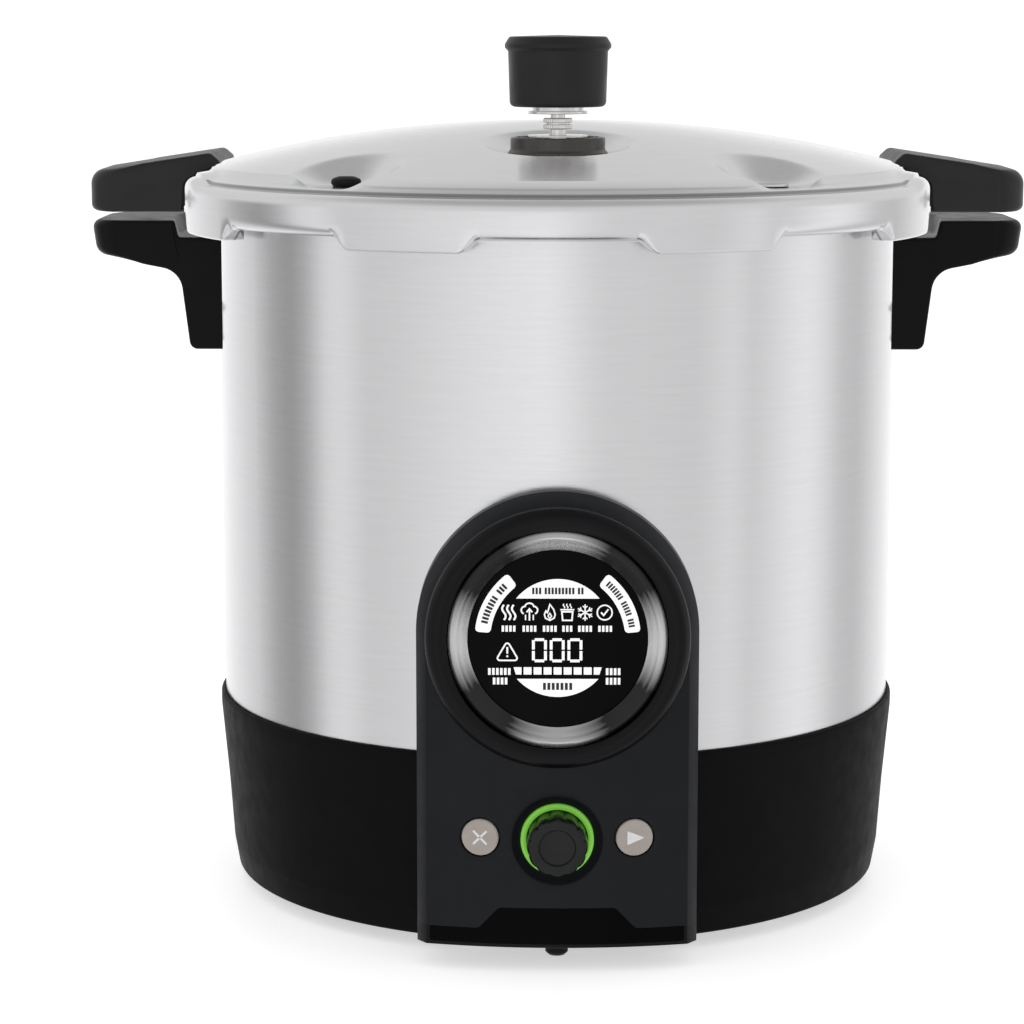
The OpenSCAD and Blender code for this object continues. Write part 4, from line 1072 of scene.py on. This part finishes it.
def build_marks():
    """White badges, icons, digits and bars, and the dark blocks on the badges."""
    white = Marks()
    white.polygon(cap_badge(15.9, 23.6, 16.2))
    white.polygon(cap_badge(-15.9, -23.1, 15.9))
    white.polygon(curved_badge(127, 175))
    white.polygon(curved_badge(5, 53))
    draw_icons(white)
    for u, count in ((-19.1, 4), (-11, 4), (-3.1, 4), (3.7, 3), (10.6, 4), (18.4, 4)):
        blocks(white, (u, 4.0), (count,), (0.95, 2.4))
    warning = rounded([(-24.1, -8.6, 0.9), (-15.1, -8.6, 0.9), (-19.6, -0.9, 0.9)], steps=4)
    white.line(warning, 0.62, closed=True)
    white.line([(-19.6, -3.3), (-19.6, -5.9)], 0.7)
    white.line([(-19.6, -6.6), (-19.6, -7.3)], 0.7)
    for u in (-7.1, -0.2, 6.7):
        draw_digit(white, u, 0.2, -9.3, 5.8)
    pitch, width = 3.9, 3.1
    for k in range(-4, 5):
        lean = {-4: (-0.9, 0), 4: (0, 0.9)}.get(k, (0, 0))
        u = k * pitch
        white.polygon([
            (u - width / 2 - lean[0], -14.2), (u + width / 2 - lean[1], -14.2),
            (u + width / 2, -11.3), (u - width / 2, -11.3)
        ])
    for u, v, count in ((-22.7, -13.0, 6), (-22.4, -16.8, 4), (21.6, -13.0, 4), (21.6, -16.8, 4)):
        blocks(white, (u, v), (count,), (1.0, 2.7))
    white.finish("display_marks", PRINT_WHITE)
    dark = Marks()
    lift = MARK_THICK
    blocks(dark, (0, 18.9), (3, 9, 2), (0.86, 2.6), lift=lift)
    blocks(dark, (0, -18.9), (7,), (1.1, 2.8), lift=lift)
    curved_blocks(dark, 29.2, 151, (8, 3), (0.95, 2.6), lift)
    curved_blocks(dark, 29.2, 29, (7, 5, 3), (0.78, 2.4), lift)
    dark.finish("badge_blocks", PRINT_DARK)


# ---- Dial, light ring and buttons ----

SCALLOPS = 12


def dial_profile(angle):
    """Closed outline of the knob at an angle round its axis: a fluted side and a round recess."""
    flute = abs(math.cos(angle * SCALLOPS / 2)) ** 0.6
    side = DIAL_R + 0.55 - 0.6 * (1 - flute)
    return rounded([
        (0, 158.0), (7.9, 158.0), (8.0, 159.6), (side + 0.15, 159.6, 0.3), (side, 170.4, 0.6),
        (side - 0.9, DIAL_FRONT, 0.5), (7.4, DIAL_FRONT, 0.5), (6.7, DIAL_FRONT - 1.0, 0.6),
        (0, DIAL_FRONT - 1.2)
    ], steps=4)


def build_dial():
    """Fluted knob and the green light ring round its foot."""
    place = lambda r, d, a: around_y(r, d, a, 0, DIAL_Z)
    add_piece("dial_fluted", *turned(dial_profile, even_angles(288), place), "dial_knob", sharp=38)
    front_lathe("dial_light", rounded([
        (12.2, 156), (14.4, 156), (14.4, 159.3, 0.5), (13.4, 159.9, 0.5), (12.2, 159.7, 0.4)
    ], steps=4), "light_ring", DIAL_Z)


def build_button(side, node, mark):
    """Round key on the panel's normal, hollow behind, with its stem and its raised mark."""
    tilt = math.asin(BUTTON_X / BOW_R)
    out = Vector((side * math.sin(tilt), -math.cos(tilt), 0))
    across = Vector((math.cos(tilt), side * math.sin(tilt), 0))
    base = Vector((side * BUTTON_X, -bow_depth(BUTTON_X), BUTTON_Z))
    place = lambda u, v, h: tuple(base + across * u + Vector((0, 0, v)) + out * h)
    stem_low = 0.3 - (bow_depth(BUTTON_X) + box_mm(node)[1].y) / math.cos(tilt)
    profile = rounded([
        (0, stem_low), (2, stem_low, 0.3), (2, -1.8), (BUTTON_R - 1.5, -1.8), (BUTTON_R - 1.5, -3.2),
        (BUTTON_R, -3.2), (BUTTON_R, 0.1, 0.35), (BUTTON_R - 0.5, 0.45, 0.35), (0, 0.6)
    ], steps=4)
    turn = lambda r, h, a: place(r * math.cos(a), r * math.sin(a), h)
    add_piece(node + "_cap", *turned(lambda a: profile, even_angles(72), turn), node)
    build = Builder()
    for outline in mark:
        build.plate([[place(u, v, h) for u, v in outline] for h in (0.3, 0.66)])
    add_mesh(node + "_mark", build.points, build.faces, node, PRINT_GREY_GLOW, weld=False)


def build_buttons():
    reach = 2.7
    cross = [stroke([(-reach, -end), (reach, end)], 0.9)[0] for end in (reach, -reach)]
    build_button(-1, "cancel_button", cross)
    triangle = rounded([(-2.9, -2.85, 0.3), (4.0, 0, 0.3), (-2.9, 2.85, 0.3)], steps=4)
    build_button(1, "start_button", [triangle])


# ---- Handles ----

PLAN_ROUND = 16
SQUEEZE_FROM = POT_R + 30
EDGE_ROUND = 1.7
EDGE_STEPS = 6
WIDTH_STEPS = 28
NOTCH_FLOOR = RIM_Z - 12.9


def plan_reach(y):
    """How far out a handle reaches at a place along its width, with round corners seen from above."""
    over = max(abs(y) - (HANDLE_WIDE - PLAN_ROUND), 0)
    return HANDLE_HALF - PLAN_ROUND + math.sqrt(max(PLAN_ROUND ** 2 - over ** 2, 0))


def handle_stations():
    """Places along a handle's width with the edge's inset there."""
    inner = HANDLE_WIDE - EDGE_ROUND
    ends = [(inner + x, EDGE_ROUND - z) for x, z in arc(0, 0, EDGE_ROUND, 0, 90, EDGE_STEPS)]
    middle = [(inner * (1 - 2 * i / WIDTH_STEPS), 0.0) for i in range(1, WIDTH_STEPS)]
    return ends + middle + [(-y, inset) for y, inset in reversed(ends)]


def handle(name, node, side, outline, hold, follow=None, material=None):
    """Moulded handle: an outline in X and Z drawn along the width, hugging what it sits on."""
    rows = []
    for y, inset in handle_stations():
        reach = plan_reach(min(abs(y), HANDLE_WIDE - 0.4))
        share = (reach - SQUEEZE_FROM) / (HANDLE_HALF - SQUEEZE_FROM)
        row = []
        for x, z in inset_outline(outline, inset):
            if x > SQUEEZE_FROM:
                x = SQUEEZE_FROM + (x - SQUEEZE_FROM) * share
            if follow:
                x -= follow(x, y, z)
            row.append((side * max(x, hold(y, z)), y, z))
        rows.append(row)
    build = Builder()
    build.loops(rows)
    for end in (rows[0], rows[-1]):
        build.add(end, [tuple(range(len(outline)))])
    add_piece(name, build.points, build.faces, node, material, sharp=48)


def build_body_handles():
    notch_r = SKIRT_R + 3.2
    outline = dense_outline(rounded([
        (POT_R - 8, RIM_Z - 60.4), (POT_R + 10.6, RIM_Z - 60.4, 3.5), (POT_R + 14.6, RIM_Z - 27.3, 10),
        (HANDLE_HALF - 2, RIM_Z - 20.2, 5), (HANDLE_HALF, RIM_Z - 5.8, 3.6),
        (notch_r + 1.2, RIM_Z - 5.8, 1.2), (notch_r - 0.4, NOTCH_FLOOR, 1.6), (POT_R - 8, NOTCH_FLOOR)
    ], steps=8), 3.0)
    hold = lambda y, z: math.sqrt((POT_R + 0.3) ** 2 - y * y)

    def follow(x, y, z):
        """The notch runs round with the cover's skirt."""
        near = 1 - smoothstep((x - notch_r - 2) / 12)
        high = smoothstep((z - RIM_Z + 22) / 8)
        return (notch_r - math.sqrt(notch_r ** 2 - y * y)) * near * high

    for side, end in ((-1, "left"), (1, "right")):
        handle("body_grip_" + end, "body_handle_" + end, side, outline, hold, follow, BODY_HANDLE_SHADED)


def cover_reach(z):
    """Radius of the cover at a height, where a handle has to stay outside it."""
    side_gap, top_gap = 0.35, 0.3
    corner_z = SEAT_TOP - SKIRT_CORNER - 0.6 + side_gap
    if z < corner_z:
        return SKIRT_R + side_gap
    if z < seat_z(SKIRT_R - SKIRT_CORNER) + top_gap:
        square = (SKIRT_CORNER + side_gap) ** 2 - (z - corner_z) ** 2
        return SKIRT_R - SKIRT_CORNER + math.sqrt(max(square, 0))
    if z < dome_z(DOME_END_R) + top_gap:
        return SKIRT_R - (z - top_gap - SEAT_TOP) / SEAT_SLOPE
    share = (z - top_gap - DOME_EDGE_Z) / (DOME_TOP - DOME_EDGE_Z)
    return DOME_R * max(1 - share, 0) ** (1 / DOME_POWER)


def build_cover_handles():
    tip_x = POT_R - 3
    outline = dense_outline(rounded([
        (tip_x, dome_z(tip_x) - 2), (SKIRT_R - 4, SKIRT_TOP - 1), (SKIRT_R - 3, RIM_Z - 2.3),
        (HANDLE_HALF, RIM_Z - 2.3, 3), (HANDLE_HALF, RIM_Z + 14.6, 6.5), (POT_R + 1, RIM_Z + 22.6, 3.5),
        (tip_x, RIM_Z + 19, 2)
    ], steps=8), 0.8)
    hold = lambda y, z: math.sqrt(cover_reach(z) ** 2 - y * y)
    for side, end in ((-1, "left"), (1, "right")):
        handle("cover_grip_" + end, "cover_handle_" + end, side, outline, hold)


# ---- Vent pipe, regulator and safety fittings ----

KNURLS = 36
COLLAR_NOTCHES = 10


def around_vent(radius, height, angle):
    """A point at an angle round the vent pipe's axis."""
    return around_z(radius, height, angle, 0, VENT_Y)


def build_vent():
    """Pipe, knurled nut, notched collar and washer."""
    z = RIM_Z
    lathe("pipe_stem", rounded([
        (1.3, z + 12), (5, z + 12), (5, z + 20.6), (3.5, z + 20.9), (3.5, z + 34.4), (1.3, z + 34.4)
    ]), "vent_pipe", y=VENT_Y, steps=64)

    def nut(angle):
        tooth = 0.22 * abs(math.sin(angle * KNURLS / 2))
        return rounded([
            (1.3, z + 34.5), (5.5 - tooth, z + 34.5, 0.3), (5.8 - tooth, z + 34.9, 0.2),
            (5.8 - tooth, z + 36.3, 0.2), (5.1, z + 36.5), (5.1, z + 37.0), (5.8 - tooth, z + 37.2, 0.2),
            (5.8 - tooth, z + 38.6, 0.2), (5.4 - tooth, z + 39, 0.2), (3, z + 39), (3, z + 52), (1.9, z + 55),
            (1.3, z + 55)
        ], steps=3)

    add_piece("pipe_knurl", *turned(nut, even_angles(288), around_vent), "vent_pipe", sharp=40)

    def collar(angle):
        notch = 0.5 * smoothstep((math.cos(angle * COLLAR_NOTCHES) - 0.55) / 0.3)
        return rounded([
            (9.4, z + 24.4), (20.1, z + 24.4), (20.1, z + 25.2, 0.3), (19, z + 26.4, 1.2),
            (19, z + 31.4, 0.7), (16.8 + notch, z + 31.4, 0.5), (15.8 + notch, z + 28, 0.6), (9.4, z + 27)
        ], steps=5)

    add_piece("collar_ring", *turned(collar, even_angles(200), around_vent), "vent_collar", sharp=40)
    lathe("washer_disc", rounded([
        (3.55, z + 31.4), (12, z + 31.4, 0.25), (12, z + 32.2, 0.25), (3.55, z + 32.2)
    ], steps=3), "vent_washer", y=VENT_Y)


def build_regulator():
    """Black cap over a metal weight with its flange."""
    z = RIM_Z
    lathe("regulator_cup", rounded([
        (16.9, z + 43.4), (CAP_R - 2, z + 43.4, 2.2), (CAP_R - 1.3, z + 65.5, 1.2), (CAP_R, z + 66.8, 0.7),
        (CAP_R, z + 68.2, 0.9), (CAP_R - 1.8, z + 71.2, 1.6), (0, z + 71.8), (0, z + 67.4), (16.9, z + 67.4)
    ], steps=8), "regulator_cap", y=VENT_Y, steps=160)
    lathe("regulator_core", rounded([
        (3.35, z + 40.6), (12, z + 40.6, 0.3), (12, z + 41.8, 0.3), (10.4, z + 41.9), (10.4, z + 45.2),
        (16.8, z + 45.2, 0.4), (16.8, z + 67.2), (2.1, z + 67.2), (2.1, z + 55.4), (3.35, z + 52.1)
    ], steps=4), "regulator_weight", y=VENT_Y, steps=128)


def build_fittings():
    """Overpressure plug on the left and cover lock disc on the right."""
    z = DIMPLE_Z
    lathe("plug_dome", rounded([
        (0, z - 6.6), (6.6, z - 6.6, 1), (6.6, z - 3.1), (4.4, z - 3.1), (4.4, z + 0.05),
        (5.0, z + 0.05, 0.3), (6.25, z + 1.7, 1.5), (5.6, z + 3.3, 1.4), (3.2, z + 4.2, 1.6), (0, z + 4.2)
    ], steps=8), "overpressure_plug", x=-FITTING_X, y=FITTING_Y, steps=72)
    lathe("lock_disc", rounded([
        (0, z - 17.4), (4, z - 17.4, 0.4), (4, z - 15.5, 0.4), (2.5, z - 15.5), (2.5, z + 0.4),
        (7.6, z + 0.4, 0.3), (7.4, z + 1.5, 0.4), (0, z + 1.6)
    ], steps=4), "cover_lock_pin", x=FITTING_X, y=FITTING_Y, steps=72)


# ---- Camera, light and floor ----

CAMERA_AT = Vector((-0.007, -1.322, 0.370))
CAMERA_TILT = 9.08
CAMERA_PAN = 0.53
CAMERA_LENS = 107.3


def build_camera():
    data = bpy.data.cameras.new("camera")
    data.lens = CAMERA_LENS
    data.sensor_width = 36
    data.clip_end = 30
    camera = bpy.data.objects.new("camera", data)
    camera.location = CAMERA_AT
    camera.rotation_euler = (math.radians(90 - CAMERA_TILT), 0, math.radians(CAMERA_PAN))
    bpy.context.scene.collection.objects.link(camera)
    bpy.context.scene.camera = camera


def soft_box(name, place, width, height, power):
    """An area lamp aimed at the object's middle."""
    data = bpy.data.lights.new(name, "AREA")
    data.shape = "RECTANGLE"
    data.size = width
    data.size_y = height
    data.energy = power
    light = bpy.data.objects.new(name, data)
    light.location = place
    light.rotation_euler = (Vector(LAMP_TARGET) - Vector(place)).to_track_quat("-Z", "Y").to_euler()
    bpy.context.scene.collection.objects.link(light)


# Brightness of the studio round the object: degrees from the front, growing towards +X
STUDIO_SWEEP = (
    (-168, 1.1), (-152, 0.98), (-138, 0.86), (-124, 0.72), (-112, 0.44), (-101, 0.33), (-92, 0.5),
    (-84, 0.84), (-76, 0.86), (-68, 0.70), (-54, 0.75), (-28, 0.89), (-3, 0.99), (15, 0.76), (34, 0.74),
    (48, 0.71), (61, 0.85), (69, 0.71), (84, 0.9), (93, 0.98), (102, 0.87), (112, 0.65), (124, 0.6),
    (139, 0.82), (154, 0.98), (168, 1.1),
)
STUDIO_PEAK = 1.1
# Even light over the sweep: from and to the height of a direction, as its Z, and the brightness there
STUDIO_OVERHEAD = ((0.06, 0.24, 0.74), (0.66, 0.92, 0.46))
# Things whose reflections the studio's cards keep off the bright metal
UNMIRRORED = (
    "cover_grip_left", "cover_grip_right", "body_grip_left", "body_grip_right", "collar_ring",
    "regulator_cup", "studio_floor", "top", "key_left", "key_right",
)
FLOOR_R = 6.0
FLOOR_GLOW = 0.55
LAMP_TARGET = (0, 0, 0.2)
# Lamps: name, place, width, height and watts
LAMPS = (
    ("key_left", (-1.5, -1.3, 1.3), 0.6, 1.2, 2.4),
    ("key_right", (1.6, -1.1, 1.3), 0.6, 1.2, 0.8),
    ("top", (0, -0.2, 2.2), 2.0, 2.0, 4),
)


def build_world():
    """A pale studio whose brightness changes softly round the object, and evens out overhead."""
    world = bpy.data.worlds.new("studio")
    world.use_nodes = True
    nodes, links = world.node_tree.nodes, world.node_tree.links

    def feed(kind, sources, **settings):
        node = nodes.new(kind)
        for key, value in settings.items():
            setattr(node, key, value)
        for socket, source in sources.items():
            if isinstance(source, (int, float)):
                node.inputs[socket].default_value = source
            else:
                links.new(source, node.inputs[socket])
        return node.outputs[0]

    split = nodes.new("ShaderNodeSeparateXYZ")
    links.new(nodes.new("ShaderNodeTexCoord").outputs["Generated"], split.inputs[0])
    front = feed("ShaderNodeMath", {0: split.outputs["Y"], 1: -1}, operation="MULTIPLY")
    turn = feed("ShaderNodeMath", {0: split.outputs["X"], 1: front}, operation="ARCTAN2")
    share = feed("ShaderNodeMapRange", {"Value": turn, "From Min": -math.pi, "From Max": math.pi})
    ramp = nodes.new("ShaderNodeValToRGB")
    stops = ramp.color_ramp.elements
    while len(stops) < len(STUDIO_SWEEP):
        stops.new(0.5)
    for stop, (angle, value) in zip(stops, STUDIO_SWEEP):
        stop.position = (angle + 180) / 360
        stop.color = (value / STUDIO_PEAK, value / STUDIO_PEAK, value / STUDIO_PEAK * 1.005, 1)
    links.new(share, ramp.inputs[0])
    color = ramp.outputs[0]
    for start, end, value in STUDIO_OVERHEAD:
        high = feed("ShaderNodeMapRange", {"Value": split.outputs["Z"], "From Min": start, "From Max": end})
        mixed = nodes.new("ShaderNodeMixRGB")
        links.new(high, mixed.inputs["Fac"])
        links.new(color, mixed.inputs["Color1"])
        mixed.inputs["Color2"].default_value = [value / STUDIO_PEAK] * 3 + [1]
        color = mixed.outputs[0]
    background = nodes["Background"]
    background.inputs["Strength"].default_value = STUDIO_PEAK
    links.new(color, background.inputs["Color"])
    bpy.context.scene.world = world


def build_stage():
    """A round white table and the lamps."""
    mesh = bpy.data.meshes.new("studio_floor")
    rim = [(FLOOR_R * math.cos(a), FLOOR_R * math.sin(a), 0) for a in even_angles(160)]
    mesh.from_pydata(rim, [], [tuple(range(len(rim)))])
    floor = bpy.data.objects.new("studio_floor", mesh)
    bpy.context.scene.collection.objects.link(floor)
    paint = Material("studio_white", (0.93, 0.93, 0.93), 0.6)
    paint.tint(paint.noise(3), 0.01)
    paint.set(Emission_Color=(1.0, 1.0, 1.0, 1.0), Emission_Strength=FLOOR_GLOW)
    mesh.materials.append(paint.block)
    for lamp in LAMPS:
        soft_box(*lamp)


build_pot()
build_cover()
build_base()
build_panel_shell()
build_fascia()
build_trim()
build_display()
build_marks()
build_dial()
build_buttons()
build_body_handles()
build_cover_handles()
build_vent()
build_regulator()
build_fittings()
for node in ("power_inlet", "bottom_plate", "rubber_feet"):
    soften(node)
build_camera()
build_world()
build_stage()
for name in UNMIRRORED:
    bpy.data.objects[name].visible_glossy = False
bpy.context.scene.view_settings.view_transform = "Standard"
